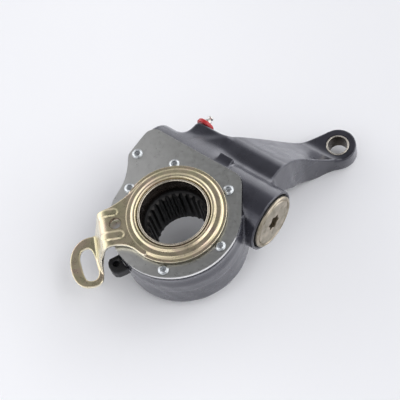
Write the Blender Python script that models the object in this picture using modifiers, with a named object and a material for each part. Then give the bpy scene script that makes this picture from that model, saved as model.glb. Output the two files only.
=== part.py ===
"""Automatic brake slack adjuster for a drum brake camshaft.

Frame: the origin is on the axis of the splined camshaft bore, level with the
outer face of the cover plate. +Z runs along the bore towards the control arm
side, +X along the worm towards the bearing screw, +Y towards the lever.
Lengths below are in millimetres and are scaled to metres by MM.
"""
import math

import bmesh
import bpy
from mathutils import Matrix, Vector

MM = 0.001

# ---------------------------------------------------------------- dimensions
GAP = 0.3                     # gap between pieces that rest on each other

# round body and cover
BODY_R = 45.2                 # round wall of the housing
BODY_BOTTOM = -47.0           # rear face of the housing
BODY_TOP = -3.8               # machined seat under gasket and cover
BODY_FILLET = 4.6             # rounding between round wall and rear face
PLATE_T = 2.4                 # cover plate, outer face at z = 0
PLATE_HOLE_R = 28.6
GASKET_Z = (-3.5, -2.7)
GASKET_HOLE_R = 35.5
SCREWS = [(-50.2, 24.3), (-38.7, 0.2), (-22.9, 31.1), (20.7, 33.9), (39.6, -2.4), (17.2, -35.9), (-21.4, -33.0)]
SCREW_R = 1.8
SCREW_HEAD_R = 3.7
SCREW_HEAD_H = 1.5
SCREW_END = -6.8

# worm axis and its barrel
WORM_Y = 37.5
WORM_Z = -23.0
BARREL_R = 22.4
BARREL_X = (-56.0, 50.9)

# splined worm wheel
WHEEL_TEETH = 24
WHEEL_MODULE = 2.25
WHEEL_PITCH_R = WHEEL_TEETH * WHEEL_MODULE / 2.0      # 27
WORM_PITCH_R = WORM_Y - WHEEL_PITCH_R                 # 10.5
LEAD = math.pi * WHEEL_MODULE                         # single start, right hand
WHEEL_Z = (-33.0, -13.0)
WHEEL_HUB_R = 24.0
WHEEL_HUB_Z = (-47.2, -8.2)
SPLINES = 26
SPLINE_MINOR_R = 19.5
SPLINE_MAJOR_R = 21.1
BACKLASH = 0.46               # taken off each tooth of wheel and worm

# clutch wheel and rack
CLUTCH_TEETH = 16
CLUTCH_MODULE = 1.25
CLUTCH_PITCH_R = CLUTCH_TEETH * CLUTCH_MODULE / 2.0   # 10
CLUTCH_X = (-41.5, -34.2)
RACK_X = (-41.0, -34.6)
RACK_Y = (-5.9, 41.4)
RACK_TOP = -8.4
RACK_PIN = (-33.2, 0.0, 1.8)  # x, y, radius of the peg in the control disc

# control arm, in its own axes: d outwards from the bore, t across
ARM_ANGLE = math.radians(-139.0)
ARM_T = 2.5
ARM_TOP = 4.6
LOOP_TOP = -18.5
COLLAR_R = (23.0, 24.8)
COLLAR_Z = (-7.9, 5.4)
DISC_R = (25.1, 35.0)
DISC_Z = (-7.6, -4.4)

# cranked lever
EYE_C = (40.0, 129.7)
EYE_R = 13.6
EYE_Z = (-83.4, -70.1)
BUSH_R = (7.0, 8.5)
BUSH_Z = (-83.7, -69.8)

# grease nipple
NIPPLE = (-32.8, -22.0)       # x, z of its axis; it points along +Y
BOSS_FACE_Y = 73.4

# ------------------------------------------------------------- scene set-up
for _ob in list(bpy.data.objects):
    bpy.data.objects.remove(_ob, do_unlink=True)

PARTS = bpy.data.collections.new("brake_slack_adjuster")
CUTTERS = bpy.data.collections.new("cutters")
for _c in (PARTS, CUTTERS):
    bpy.context.scene.collection.children.link(_c)


def material(name, colour, roughness, metallic):
    mat = bpy.data.materials.new(name)
    mat.use_nodes = True
    shader = mat.node_tree.nodes["Principled BSDF"]
    shader.inputs["Base Color"].default_value = (*colour, 1.0)
    shader.inputs["Roughness"].default_value = roughness
    shader.inputs["Metallic"].default_value = metallic
    return mat


# ------------------------------------------------------------------ helpers
def put(name, mesh, part=True):
    ob = bpy.data.objects.new(name, mesh)
    (PARTS if part else CUTTERS).objects.link(ob)
    if not part:
        ob.hide_render = True
        ob.display_type = "WIRE"
    return ob


def finish(ob, mat, smooth=35.0):
    ob.data.materials.clear()
    ob.data.materials.append(mat)
    if ob.type == "MESH":
        ob.data.shade_smooth()
        ob.data.set_sharp_from_angle(angle=math.radians(smooth))
    return ob


def baked(ob):
    """Replace the object's mesh by its evaluated mesh and drop its modifiers."""
    bpy.context.view_layer.update()
    graph = bpy.context.evaluated_depsgraph_get()
    mesh = bpy.data.meshes.new_from_object(ob.evaluated_get(graph))
    ob.modifiers.clear()
    ob.data = mesh
    return ob


def turned(name, profile, steps=48, part=True, axis="Z", at=(0, 0, 0)):
    """Turned solid: a closed profile of (radius, height) pairs that runs down
    the outer side and up the inner one, turned about the local Z axis."""
    mesh = bpy.data.meshes.new(name)
    verts = [(r * MM, 0.0, z * MM) for r, z in profile]
    n = len(verts)
    closed = all(r > 1e-6 for r, _ in profile)
    edges = [(i, i + 1) for i in range(n - 1)]
    if closed:
        edges.append((n - 1, 0))
    mesh.from_pydata(verts, edges, [])
    ob = put(name, mesh, part)
    mod = ob.modifiers.new("Turn", "SCREW")
    mod.axis = "Z"
    mod.angle = 2.0 * math.pi
    mod.steps = steps
    mod.render_steps = steps
    mod.use_merge_vertices = True
    mod.merge_threshold = 0.00001
    mod.use_smooth_shade = False
    ob.location = [c * MM for c in at]
    if axis == "X":
        ob.rotation_euler = (0.0, math.pi / 2, 0.0)
    elif axis == "Y":
        ob.rotation_euler = (-math.pi / 2, 0.0, 0.0)
    return ob


def ring(r0, r1, z0, z1, c=0.0):
    """Profile of a plain ring with an optional small chamfer outside."""
    if c:
        return [(r1 - c, z1), (r1, z1 - c), (r1, z0 + c), (r1 - c, z0), (r0, z0), (r0, z1)]
    return [(r1, z1), (r1, z0), (r0, z0), (r0, z1)]


def rod(r, z0, z1, c=0.0):
    if c:
        return [(0, z1), (r - c, z1), (r, z1 - c), (r, z0 + c), (r - c, z0), (0, z0)]
    return [(0, z1), (r, z1), (r, z0), (0, z0)]


def outline_solid(name, loops, z0, z1, part=True):
    """Flat outlines (first outer, then holes) with a thickness, as a mesh."""
    curve = bpy.data.curves.new(name + "_outline", "CURVE")
    curve.dimensions = "2D"
    curve.fill_mode = "BOTH"
    curve.extrude = 0.5 * (z1 - z0) * MM
    for loop in loops:
        spline = curve.splines.new("POLY")
        spline.points.add(len(loop) - 1)
        for point, (x, y) in zip(spline.points, loop):
            point.co = (x * MM, y * MM, 0.0, 1.0)
        spline.use_cyclic_u = True
    guide = bpy.data.objects.new(name + "_outline", curve)
    CUTTERS.objects.link(guide)
    bpy.context.view_layer.update()
    graph = bpy.context.evaluated_depsgraph_get()
    mesh = bpy.data.meshes.new_from_object(guide.evaluated_get(graph))
    bpy.data.objects.remove(guide, do_unlink=True)
    bm = bmesh.new()
    bm.from_mesh(mesh)
    bmesh.ops.remove_doubles(bm, verts=bm.verts, dist=0.000001)
    bmesh.ops.translate(bm, verts=bm.verts, vec=(0, 0, 0.5 * (z0 + z1) * MM))
    bmesh.ops.recalc_face_normals(bm, faces=bm.faces)
    bm.to_mesh(mesh)
    bm.free()
    mesh.name = name
    return put(name, mesh, part)


def block(name, x, y, z, part=False, bevel=0.0, segments=1):
    """Box primitive between the given limits."""
    bm = bmesh.new()
    bmesh.ops.create_cube(bm, size=1.0)
    bmesh.ops.scale(bm, verts=bm.verts, vec=[(b - a) * MM for a, b in (x, y, z)])
    bmesh.ops.translate(bm, verts=bm.verts, vec=[0.5 * (a + b) * MM for a, b in (x, y, z)])
    mesh = bpy.data.meshes.new(name)
    bm.to_mesh(mesh)
    bm.free()
    ob = put(name, mesh, part)
    if bevel:
        mod = ob.modifiers.new("Edges", "BEVEL")
        mod.width = bevel * MM
        mod.segments = segments
    return ob


def loft(name, sections, part=True, closed_caps=True):
    """Solid through equal rings of points."""
    bm = bmesh.new()
    rings = [[bm.verts.new([c * MM for c in p]) for p in s] for s in sections]
    n = len(rings[0])
    for a, b in zip(rings, rings[1:]):
        for i in range(n):
            j = (i + 1) % n
            bm.faces.new((a[i], a[j], b[j], b[i]))
    bm.faces.new(list(reversed(rings[0])))
    bm.faces.new(rings[-1])
    bmesh.ops.recalc_face_normals(bm, faces=bm.faces)
    mesh = bpy.data.meshes.new(name)
    bm.to_mesh(mesh)
    bm.free()
    return put(name, mesh, part)


def boolean(ob, other, how="DIFFERENCE"):
    mod = ob.modifiers.new(how.title() + "_" + other.name, "BOOLEAN")
    mod.operation = how
    mod.object = other
    mod.solver = "EXACT"
    return ob


def boolean_group(ob, name, pieces, how="DIFFERENCE"):
    """One Boolean against a whole collection of cutters or joined pieces."""
    group = bpy.data.collections.new(name)
    CUTTERS.children.link(group)
    for piece in pieces:
        CUTTERS.objects.unlink(piece)
        group.objects.link(piece)
    mod = ob.modifiers.new(name, "BOOLEAN")
    mod.operation = how
    mod.operand_type = "COLLECTION"
    mod.collection = group
    mod.solver = "EXACT"
    return ob


def arc(cx, cy, r, a0, a1, n):
    return [(cx + r * math.cos(math.radians(a0 + (a1 - a0) * i / n)),
             cy + r * math.sin(math.radians(a0 + (a1 - a0) * i / n))) for i in range(n + 1)]


def lerp(table, x):
    for (x0, v0), (x1, v1) in zip(table, table[1:]):
        if x <= x1:
            return v0 + (v1 - v0) * (x - x0) / (x1 - x0)
    return table[-1][1]


def coil(name, radius, wire, x0, x1, turns, per_turn, mat, axis="X", at=(0, 0, 0), sides=1):
    """Round wire spring about the worm axis or another X or Y line."""
    curve = bpy.data.curves.new(name, "CURVE")
    curve.dimensions = "3D"
    curve.bevel_depth = 0.5 * wire * MM
    curve.bevel_resolution = sides
    curve.use_fill_caps = True
    count = int(turns * per_turn) + 1
    spline = curve.splines.new("POLY")
    spline.points.add(count - 1)
    half = 0.5 * wire
    for i, point in enumerate(spline.points):
        f = i / (count - 1)
        a = 2 * math.pi * turns * f
        s = x0 + half + (x1 - x0 - wire) * f
        c, d = radius * math.cos(a), radius * math.sin(a)
        p = (s, c, d) if axis == "X" else (c, s, d)
        point.co = (*[v * MM for v in p], 1.0)
    ob = bpy.data.objects.new(name, curve)
    PARTS.objects.link(ob)
    ob.location = [c * MM for c in at]
    curve.materials.append(mat)
    return ob


# ---------------------------------------------------------------- materials
CAST = material("painted_casting", (0.055, 0.056, 0.066), 0.42, 0.25)
ZINC = material("zinc_plate", (0.36, 0.37, 0.36), 0.38, 0.85)
GOLD = material("yellow_passivated_steel", (0.45, 0.38, 0.22), 0.3, 0.9)
STEEL = material("machined_steel", (0.55, 0.55, 0.54), 0.28, 1.0)
DARK = material("hardened_steel", (0.06, 0.058, 0.055), 0.45, 0.8)
SPRING = material("spring_steel", (0.2, 0.2, 0.21), 0.35, 1.0)
RUBBER = material("black_rubber", (0.012, 0.012, 0.013), 0.6, 0.0)
PLASTIC = material("black_plastic", (0.01, 0.01, 0.012), 0.4, 0.0)
RED = material("red_plastic", (0.38, 0.01, 0.015), 0.4, 0.0)
BRONZE = material("bronze", (0.45, 0.3, 0.16), 0.35, 1.0)
GASKET = material("gasket_fibre", (0.05, 0.05, 0.045), 0.8, 0.0)
PALE = material("pale_passivated_steel", (0.66, 0.6, 0.47), 0.35, 0.8)


# ------------------------------------------------------------ cover outline
def cover_outline(grow=0.0, step=6.0):
    """Plate outline, grown outwards by a margin."""
    pts = []
    for p in arc(0, 0, BODY_R, 34.0, -164.0, int(198 / step)):
        pts.append(p)
    pts += [(-44.3, -4.7), (-45.4, 1.6), (-47.6, 7.4), (-51.2, 14.1), (-55.1, 20.0),
            (-55.6, 22.5), (-55.4, 39.6), (-54.1, 43.8), (-50.9, 46.7), (-47.5, 47.3),
            (19.9, 47.3), (22.3, 46.4), (24.2, 44.0)]
    if not grow:
        return pts
    out = []
    n = len(pts)
    for i, (x, y) in enumerate(pts):
        ax, ay = pts[i - 1]
        bx, by = pts[(i + 1) % n]
        tx, ty = bx - ax, by - ay
        l = math.hypot(tx, ty)
        out.append((x - ty / l * grow, y + tx / l * grow))
    return out


# ------------------------------------------------------------------ housing
f = BODY_FILLET
body_profile = [(0, -1.6), (BODY_R, -1.6)]
body_profile += [(BODY_R - f + f * math.cos(math.radians(a)), BODY_BOTTOM + f + f * math.sin(math.radians(a)))
                 for a in (0, -30, -60, -90)]
body_profile += [(0, BODY_BOTTOM)]
housing = turned("housing", body_profile, 52)

c = 3.6
barrel_profile = [(0, BARREL_X[1]), (BARREL_R - 0.8, BARREL_X[1]), (BARREL_R, BARREL_X[1] - 0.8),
                  (BARREL_R, BARREL_X[0] + c), (BARREL_R - 0.3 * c, BARREL_X[0] + 0.3 * c),
                  (BARREL_R - c, BARREL_X[0]), (0, BARREL_X[0])]
barrel = turned("barrel", barrel_profile, 40, False, "X", (0, WORM_Y, WORM_Z))

deck = outline_solid("deck", [cover_outline(-0.15)], -20.0, -1.2, False)


def lever_section(y):
    xl = lerp([(46, -36), (52, -34), (58, -30.5), (66, -21.5), (73.5, -12), (82, -6.4), (94, 1.0),
               (106.6, 8.8), (118.5, 16.6), (127.9, 22.8), (136.1, 27.9)], y)
    xr = lerp([(46, 37), (60, 35.6), (75, 35.8), (79, 36), (84, 34.9), (94, 35.2), (104, 38.8),
               (112, 42.3), (118, 46.6), (124, 51.5), (129.7, 53.2), (136.1, 51.4)], y)
    zt = lerp([(46, -14.4), (73, -14.8), (76, -16.6), (80, -21.0), (90, -34.2), (100, -47.5),
               (108, -58.2), (112, -63.0), (115, -66.2), (118, -68.6), (122, -70.0), (136.1, -70.1)], y)
    zb = lerp([(46, -41), (64, -43), (69, -46.4), (77, -55.8), (88, -68.8), (96, -76.8), (104, -81.6),
               (112, -83.4), (136.1, -83.4)], y)
    r = lerp([(46, 3.5), (100, 3.0), (118, 2.2), (136.1, 1.2)], y)
    pts = []
    for cx, cz, a0 in ((xr - r, zt - r, 0), (xl + r, zt - r, 90), (xl + r, zb + r, 180), (xr - r, zb + r, 270)):
        for k in range(3):
            a = math.radians(a0 + 45 * k)
            pts.append((cx + r * math.cos(a), y, cz + r * math.sin(a)))
    return pts


lever = loft("lever", [lever_section(y) for y in
                       (46, 60, 66, 73, 76, 80, 88, 96, 104, 112, 118, 124, 129.7, 136.1)], False)
eye = turned("eye", [(0, EYE_Z[1]), (EYE_R - 1.0, EYE_Z[1]), (EYE_R, EYE_Z[1] - 1.0), (EYE_R, EYE_Z[0] + 1.0),
                     (EYE_R - 1.0, EYE_Z[0]), (0, EYE_Z[0])], 32, False, "Z", (EYE_C[0], EYE_C[1], 0))
boss = outline_solid("grease_boss", [[(-37.4, 46), (-8.0, 46), (-8.0, 70.6), (-12.0, BOSS_FACE_Y),
                                      (-34.4, BOSS_FACE_Y), (-37.4, 68.6)]], -33.0, -15.6, False)
pad = block("pad", (-2.8, 8.2), (40.0, 56.8), (-24.0, -4.6))
boolean_group(housing, "housing_joins", (barrel, deck, lever, eye, boss, pad), "UNION")

seat_cut = outline_solid("seat_cut", [cover_outline(0.45)], BODY_TOP, 6.0, False)
wheel_cut = turned("wheel_cut", rod(30.2, -39.6, 4.0), 40, False)
rear_cut = turned("rear_cut", rod(27.5, -60.0, -30.0), 40, False)
disc_cut = turned("disc_cut", rod(35.5, -8.1, 4.0), 40, False)
worm_cut = turned("worm_cut", rod(14.0, -43.6, 28.0), 24, False, "X", (0, WORM_Y, WORM_Z))
spring_cut = turned("spring_cut", rod(17.8, 25.0, 44.0), 24, False, "X", (0, WORM_Y, WORM_Z))
mouth_cut = turned("mouth_cut", [(0, 60.0), (20.9, 60.0), (20.9, 50.9), (19.75, 49.6), (19.75, 38.8), (0, 38.8)], 40, False, "X",
                   (0, WORM_Y, WORM_Z))
end_cut = turned("end_cut", rod(10.5, -60.0, -40.0), 24, False, "X", (0, WORM_Y, WORM_Z))
rack_cut = block("rack_cut", (-41.45, -34.1), (-6.5, 52.2), (-14.8, -8.0))
bridge_cut = block("bridge_cut", (-41.4, -30.7), (-3.8, 13.3), (-12.1, -7.8))
pin_cut = block("pin_cut", (-35.35, -28.0), (-2.5, 12.2), (-8.6, -1.0))
rspring_cut = turned("rack_spring_cut", rod(2.9, -16.0, -5.0), 10, False, "Y", (-36.8, 0, -11.4))
eye_cut = turned("eye_cut", rod(BUSH_R[1] + GAP, -95.0, -60.0), 24, False, "Z", (EYE_C[0], EYE_C[1], 0))
nipple_cut = turned("nipple_cut", rod(3.3, 66.0, 80.0), 12, False, "Y", (NIPPLE[0], 0, NIPPLE[1]))
cuts = [seat_cut, wheel_cut, rear_cut, disc_cut, worm_cut, spring_cut, mouth_cut, end_cut, rack_cut,
        bridge_cut, pin_cut, rspring_cut, eye_cut, nipple_cut]
for i, (sx, sy) in enumerate(SCREWS):
    cuts.append(turned("screw_cut_%d" % (i + 1), rod(SCREW_R + 0.3, SCREW_END - 0.4, 2.0), 8, False, "Z", (sx, sy, 0)))
boolean_group(housing, "housing_cuts", cuts)
finish(housing, CAST)

# ----------------------------------------------------------- lever eye bush
finish(turned("eye_bush", ring(BUSH_R[0], BUSH_R[1], BUSH_Z[0], BUSH_Z[1], 0.4), 24, True, "Z",
              (EYE_C[0], EYE_C[1], 0)), STEEL)

# ---------------------------------------------------------- cover and seals
cover_plate = outline_solid("cover_plate", [cover_outline()] + [arc(0, 0, PLATE_HOLE_R, 0, 360, 44)[:-1]] +
                            [arc(sx, sy, SCREW_R + 0.3, 0, 360, 8)[:-1] for sx, sy in SCREWS], -PLATE_T, 0.0)
finish(cover_plate, ZINC)
cover_gasket = outline_solid("cover_gasket", [cover_outline(-0.7)] + [arc(0, 0, GASKET_HOLE_R, 0, 360, 40)[:-1]] +
                             [arc(sx, sy, SCREW_R + 0.3, 0, 360, 8)[:-1] for sx, sy in SCREWS], *GASKET_Z)
finish(cover_gasket, GASKET)


def six_lobe(r_out, r_in, n=6):
    pts = []
    for k in range(n * 2):
        a = math.pi * k / n
        r = (r_out, r_in)[k % 2]
        pts.append((r * math.cos(a), r * math.sin(a)))
    return pts


lobe_cut = outline_solid("lobe_cut", [six_lobe(2.1, 1.45)], 0.75, 4.0, False)
screw_one = turned("cover_screw_1", [(0, GAP + SCREW_HEAD_H), (1.6, GAP + SCREW_HEAD_H), (2.9, GAP + 0.8 * SCREW_HEAD_H),
                                     (SCREW_HEAD_R, GAP + 0.35 * SCREW_HEAD_H), (SCREW_HEAD_R, GAP), (SCREW_R, GAP),
                                     (SCREW_R, SCREW_END), (0, SCREW_END)], 12)
boolean(screw_one, lobe_cut)
baked(screw_one)
screw_mesh = screw_one.data
for i, (sx, sy) in enumerate(SCREWS):
    ob = screw_one if i == 0 else put("cover_screw_%d" % (i + 1), screw_mesh)
    ob.location = (sx * MM, sy * MM, 0.0)
    finish(ob, ZINC)

finish(turned("wheel_rear_seal", ring(24.4, 27.2, -46.6, -41.0), 36), RUBBER)
finish(turned("wheel_rear_bush", ring(24.3, 29.9, -39.2, -34.0), 36), BRONZE)
finish(turned("arm_seal", ring(26.95, 28.3, -2.2, 0.6), 36), RUBBER)

# --------------------------------------------------------------- worm wheel
ADD = WHEEL_MODULE
DED = 1.25 * WHEEL_MODULE
TWIST = LEAD / (2 * math.pi * WORM_PITCH_R) / WHEEL_PITCH_R   # radians per mm of face


def gear_outline(teeth, module, thin, add, ded, turn):
    """Straight flanked tooth outline; one tooth stands on the angle `turn`."""
    pr = teeth * module / 2.0
    half = 0.25 * math.pi * module - 0.5 * thin
    tan = math.tan(math.radians(20.0))
    pts = []
    for k in range(teeth):
        a = turn + 2 * math.pi * k / teeth
        for r, w in ((pr - ded, -(half + ded * tan)), (pr, -half), (pr + add, -(half - add * tan * 1.18)),
                     (pr + add, half - add * tan * 1.18), (pr, half), (pr - ded, half + ded * tan)):
            b = a + w / r if r >= pr else a + w / (pr - 0.35 * ded)
            pts.append((r * math.cos(b), r * math.sin(b)))
    return pts


zm = 0.5 * (WHEEL_Z[0] + WHEEL_Z[1])
levels = [WHEEL_Z[0], WHEEL_Z[1]]
wheel_sections = []
for z in levels:
    turn = math.pi / 2 + TWIST * (z - zm)
    wheel_sections.append([(x, y, z) for x, y in gear_outline(WHEEL_TEETH, WHEEL_MODULE, 2 * BACKLASH, ADD, DED, turn)])
worm_wheel = loft("worm_wheel", wheel_sections)
hub = turned("wheel_hub", rod(WHEEL_HUB_R, *WHEEL_HUB_Z), 36, False)
boolean(worm_wheel, hub, "UNION")
spline_pts = []
for k in range(SPLINES):
    a = 2 * math.pi * k / SPLINES
    p = 2 * math.pi / SPLINES
    for r, o in ((SPLINE_MINOR_R, 0.0), (SPLINE_MINOR_R, 0.34), (SPLINE_MAJOR_R, 0.5), (SPLINE_MAJOR_R, 0.84)):
        spline_pts.append((r * math.cos(a + o * p), r * math.sin(a + o * p)))
spline_cut = outline_solid("spline_cut", [spline_pts], -60.0, 4.0, False)
boolean(worm_wheel, spline_cut)
rear_chamfer = turned("rear_chamfer", [(0, -45.9), (20.2, -45.9), (22.2, -47.9), (22.2, -55), (0, -55)], 26, False)
front_chamfer = turned("front_chamfer", [(0, 0), (22.4, 0), (22.4, -7.9), (20.3, -10.0), (0, -10.0)], 26, False)
boolean(worm_wheel, rear_chamfer)
boolean(worm_wheel, front_chamfer)
finish(worm_wheel, DARK)

# --------------------------------------------------------------- worm screw
WORM_ROOT = WORM_PITCH_R - DED + 0.02
WORM_TIP = WORM_PITCH_R + ADD
worm_screw = turned("worm_screw", [
    (0, 36.0), (5.6, 36.0), (6.0, 35.6), (6.0, 27.2), (9.4, 27.0), (9.4, 20.0), (WORM_ROOT, 18.4), (WORM_ROOT, -17.6),
    (6.0, -18.2), (6.0, -56.0), (0, -56.0)], 24, True, "X", (0, WORM_Y, WORM_Z))
tan20 = math.tan(math.radians(20.0))
half = 0.25 * LEAD - BACKLASH
thread = []
turns = 3.7
steps = int(turns * 20)
for i in range(steps + 1):
    psi = -math.pi * turns + 2 * math.pi * turns * i / steps
    xc = LEAD * psi / (2 * math.pi)
    fade = min(1.0, min(i, steps - i) / 6.0)
    tip = WORM_ROOT + 0.3 + (WORM_TIP - WORM_ROOT - 0.3) * fade
    ring_pts = []
    for r, w in ((WORM_ROOT - 0.6, -(half + DED * tan20)), (tip, -(half - ADD * tan20)),
                 (tip, half - ADD * tan20), (WORM_ROOT - 0.6, half + DED * tan20)):
        ring_pts.append((xc + w, WORM_Y + r * math.cos(psi), WORM_Z + r * math.sin(psi)))
    thread.append(ring_pts)
thread_ob = loft("thread", thread, False)
hexagon = outline_solid("hex_end", [[(6.3 * math.cos(math.radians(60 * k)), 6.3 * math.sin(math.radians(60 * k)))
                                     for k in range(6)]], -63.0, -54.0, False)
hexagon.rotation_euler = (0.0, math.pi / 2, 0.0)
hexagon.location = (0, WORM_Y * MM, WORM_Z * MM)
boolean(worm_screw, thread_ob, "UNION")
boolean(worm_screw, hexagon, "UNION")
finish(worm_screw, STEEL)

AX = (0, WORM_Y, WORM_Z)
finish(turned("clutch_hub", [(10.4, -18.7), (10.4, -21.4), (7.2, -21.4), (7.2, -33.6), (6.35, -33.6), (6.35, -18.7)],
              24, True, "X", AX), STEEL)
coil("clutch_spring", 8.6, 1.6, -33.4, -21.9, 5.0, 12, SPRING, "X", AX, 0)
finish(turned("thrust_race_inner", ring(6.35, 15.4, 27.5, 29.3), 24, True, "X", AX), STEEL)
finish(turned("thrust_race_outer", ring(6.45, 16.5, 32.5, 34.5), 24, True, "X", AX), STEEL)
finish(turned("spring_seat", [(16.5, 37.2), (16.5, 34.9), (6.45, 34.9), (6.45, 40.0), (10.8, 40.0), (11.2, 37.2)],
              24, True, "X", AX), STEEL)
coil("main_spring", 13.4, 2.9, 37.6, 47.1, 2.2, 16, SPRING, "X", AX)

cage = turned("thrust_rollers", ring(8.0, 15.2, 30.2, 31.6), 24, True, "X", AX)
for k in range(10):
    bm = bmesh.new()
    bmesh.ops.create_cone(bm, cap_ends=True, segments=6, radius1=1.25 * MM, radius2=1.25 * MM, depth=5.2 * MM)
    a = 2 * math.pi * (k + 0.5) / 10
    spin = Matrix.Rotation(a, 4, "X") @ Matrix.Translation((30.9 * MM, 11.6 * MM, 0)) @ Matrix.Rotation(math.pi / 2, 4, "X")
    bmesh.ops.transform(bm, matrix=spin, verts=bm.verts)
    mesh = bpy.data.meshes.new("roller_%d" % k)
    bm.to_mesh(mesh)
    bm.free()
    roller = put("roller_%d" % k, mesh, False)
    roller.location = [v * MM for v in AX]
    boolean(cage, roller, "UNION")
finish(cage, STEEL)

# ----------------------------------------------------- bearing screw and seal
bearing_screw = turned("bearing_screw", [
    (0, 52.0), (16.7, 52.0), (17.2, 51.5), (17.8, 52.0), (19.0, 52.0), (19.4, 51.5), (19.4, 50.6), (18.0, 50.6),
    (18.0, 48.6), (19.4, 48.6), (19.4, 39.4), (16.0, 39.4), (16.0, 47.4), (0, 47.4)], 40, True, "X", AX)
socket = outline_solid("socket_cut", [six_lobe(5.0, 3.6)], 48.4, 60.0, False)
socket.rotation_euler = (0.0, math.pi / 2, 0.0)
socket.location = [v * MM for v in AX]
boolean(bearing_screw, socket)
finish(bearing_screw, PALE)
finish(turned("bearing_screw_seal", ring(18.25, 19.5, 48.9, 50.3), 32, True, "X", AX), RUBBER)
finish(turned("worm_end_bush", ring(6.5, 10.2, -51.6, -44.4), 24, True, "X", AX), BRONZE)
finish(turned("worm_end_seal", ring(6.6, 10.2, -55.6, -52.0), 24, True, "X", AX), RUBBER)

# -------------------------------------------------------------- clutch wheel
base_turn = math.pi / 2
wheel_pts = gear_outline(CLUTCH_TEETH, CLUTCH_MODULE, 0.3, CLUTCH_MODULE, 1.2 * CLUTCH_MODULE, base_turn)
clutch_sections = []
for x in CLUTCH_X:
    clutch_sections.append([(x, WORM_Y + px, WORM_Z + py) for px, py in wheel_pts])
clutch_wheel = loft("clutch_wheel", clutch_sections)
clutch_bore = turned("clutch_bore", rod(6.4, -50.0, -30.0), 20, False, "X", AX)
boolean(clutch_wheel, clutch_bore)
finish(clutch_wheel, STEEL)

# ---------------------------------------------------------------------- rack
pitch = math.pi * CLUTCH_MODULE
pitch_z = WORM_Z + CLUTCH_PITCH_R
root_z = pitch_z + 1.25 * CLUTCH_MODULE
tip_z = pitch_z - CLUTCH_MODULE
hw = 0.25 * pitch - 0.15
side = [(RACK_Y[0], RACK_TOP), (RACK_Y[0], root_z)]
for k in range(-4, 1):
    yc = WORM_Y + pitch * (k + 0.5)
    side += [(yc - hw - 1.25 * CLUTCH_MODULE * tan20, root_z), (yc - hw + CLUTCH_MODULE * tan20, tip_z),
             (yc + hw - CLUTCH_MODULE * tan20, tip_z), (yc + hw + 1.25 * CLUTCH_MODULE * tan20, root_z)]
side += [(RACK_Y[1], root_z), (RACK_Y[1], RACK_TOP)]
rack = loft("rack", [[(x, y, z) for y, z in side] for x in RACK_X])
bridge = block("rack_bridge", (-40.0, RACK_PIN[0] + RACK_PIN[2]), (-3.0, 3.0), (root_z + 0.1, RACK_TOP - 0.05))
pin = turned("rack_pin", rod(RACK_PIN[2], RACK_TOP - 0.4, -4.9), 16, False, "Z", (RACK_PIN[0], RACK_PIN[1], 0))
boolean(rack, bridge, "UNION")
boolean(rack, pin, "UNION")
finish(rack, STEEL)
coil("rack_spring", 2.0, 0.8, -15.4, -6.3, 5.0, 9, SPRING, "Y", (-36.8, 0, -11.4), 0)

# --------------------------------------------------------------- control arm
arm_pivot = bpy.data.objects.new("control_arm_pivot", None)
PARTS.objects.link(arm_pivot)
arm_plan = [(18.0, -26.0), (28.4, -19.9), (34.2, -16.0), (40.6, -12.6), (44.9, -10.9), (49.1, -10.0), (52.5, -9.4),
            (55.5, -7.0), (58.0, -4.6), (61.0, -3.3), (64.5, -3.0), (68.6, -1.9), (72.6, 0.9), (75.8, 5.2), (77.5, 10.4),
            (77.9, 15.7), (77.2, 21.1), (75.6, 26.4), (72.9, 30.7), (69.0, 33.7), (64.7, 34.6), (60.4, 34.3), (57.2, 33.0),
            (55.3, 30.4), (54.7, 26.5), (54.4, 22.5), (53.2, 19.8), (51.0, 18.6), (48.0, 18.3), (44.4, 17.5), (40.9, 17.3),
            (37.6, 17.6), (33.4, 18.8), (29.0, 21.4), (20.0, 27.0)]
R_OUT = 9.0
R_IN = R_OUT - ARM_T
R2_IN = 1.8
R2_OUT = R2_IN + ARM_T
bend1 = (44.6, ARM_TOP - R_OUT)
lean = math.radians(20.0)
wall_run = (bend1[1] - (LOOP_TOP + R2_IN) + (R_OUT + R2_IN) * math.sin(lean)) / math.cos(lean)
bend2 = (bend1[0] + (R_OUT + R2_IN) * math.cos(lean) + wall_run * math.sin(lean), LOOP_TOP + R2_IN)


def bend(centre, radius, degrees):
    return [(centre[0] + radius * math.cos(math.radians(a)), centre[1] + radius * math.sin(math.radians(a))) for a in degrees]


prof = [(14.0, ARM_TOP)] + bend(bend1, R_OUT, (90, 73, 56, 38, 20)) + bend(bend2, R2_IN, (200, 225, 250, 270))
prof += [(90.0, LOOP_TOP), (90.0, LOOP_TOP - ARM_T)] + bend(bend2, R2_OUT, (270, 250, 225, 200)) + bend(bend1, R_IN, (20, 38, 56, 73, 90))
prof += [(14.0, ARM_TOP - ARM_T)]
control_arm = outline_solid("control_arm", [arm_plan], -40.0, 20.0)
arm_sheet = outline_solid("arm_sheet", [prof], -45.0, 45.0, False)
arm_sheet.rotation_euler = (math.pi / 2, 0.0, 0.09)
boolean(control_arm, arm_sheet, "INTERSECT")
ring_profile = [(25.6, 5.7), (26.6, 5.55), (27.6, 4.8), (29.0, 4.63), (32.9, 4.63), (34.0, 4.25), (34.6, 3.3), (34.6, 0.87), (26.6, 0.87),
                (26.6, -4.1), (25.1, -4.1), (25.1, 5.3)]
arm_ring = turned("arm_ring", ring_profile, 48, False)
arm_bore = turned("arm_bore", rod(26.0, -20.0, 20.0), 48, False)
boolean(control_arm, arm_bore)
boolean(control_arm, arm_ring, "UNION")
slot_pts = [(70.6, 9.9), (69.2, 6.9), (66.3, 5.5), (63.2, 6.5), (61.2, 10.5), (60.0, 14.9), (58.9, 20.3), (58.3, 24.2), (58.9, 27.4),
            (61.0, 29.3), (64.3, 29.5), (67.0, 27.9), (68.8, 23.5), (70.1, 17.5), (70.9, 13.1)]
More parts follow.
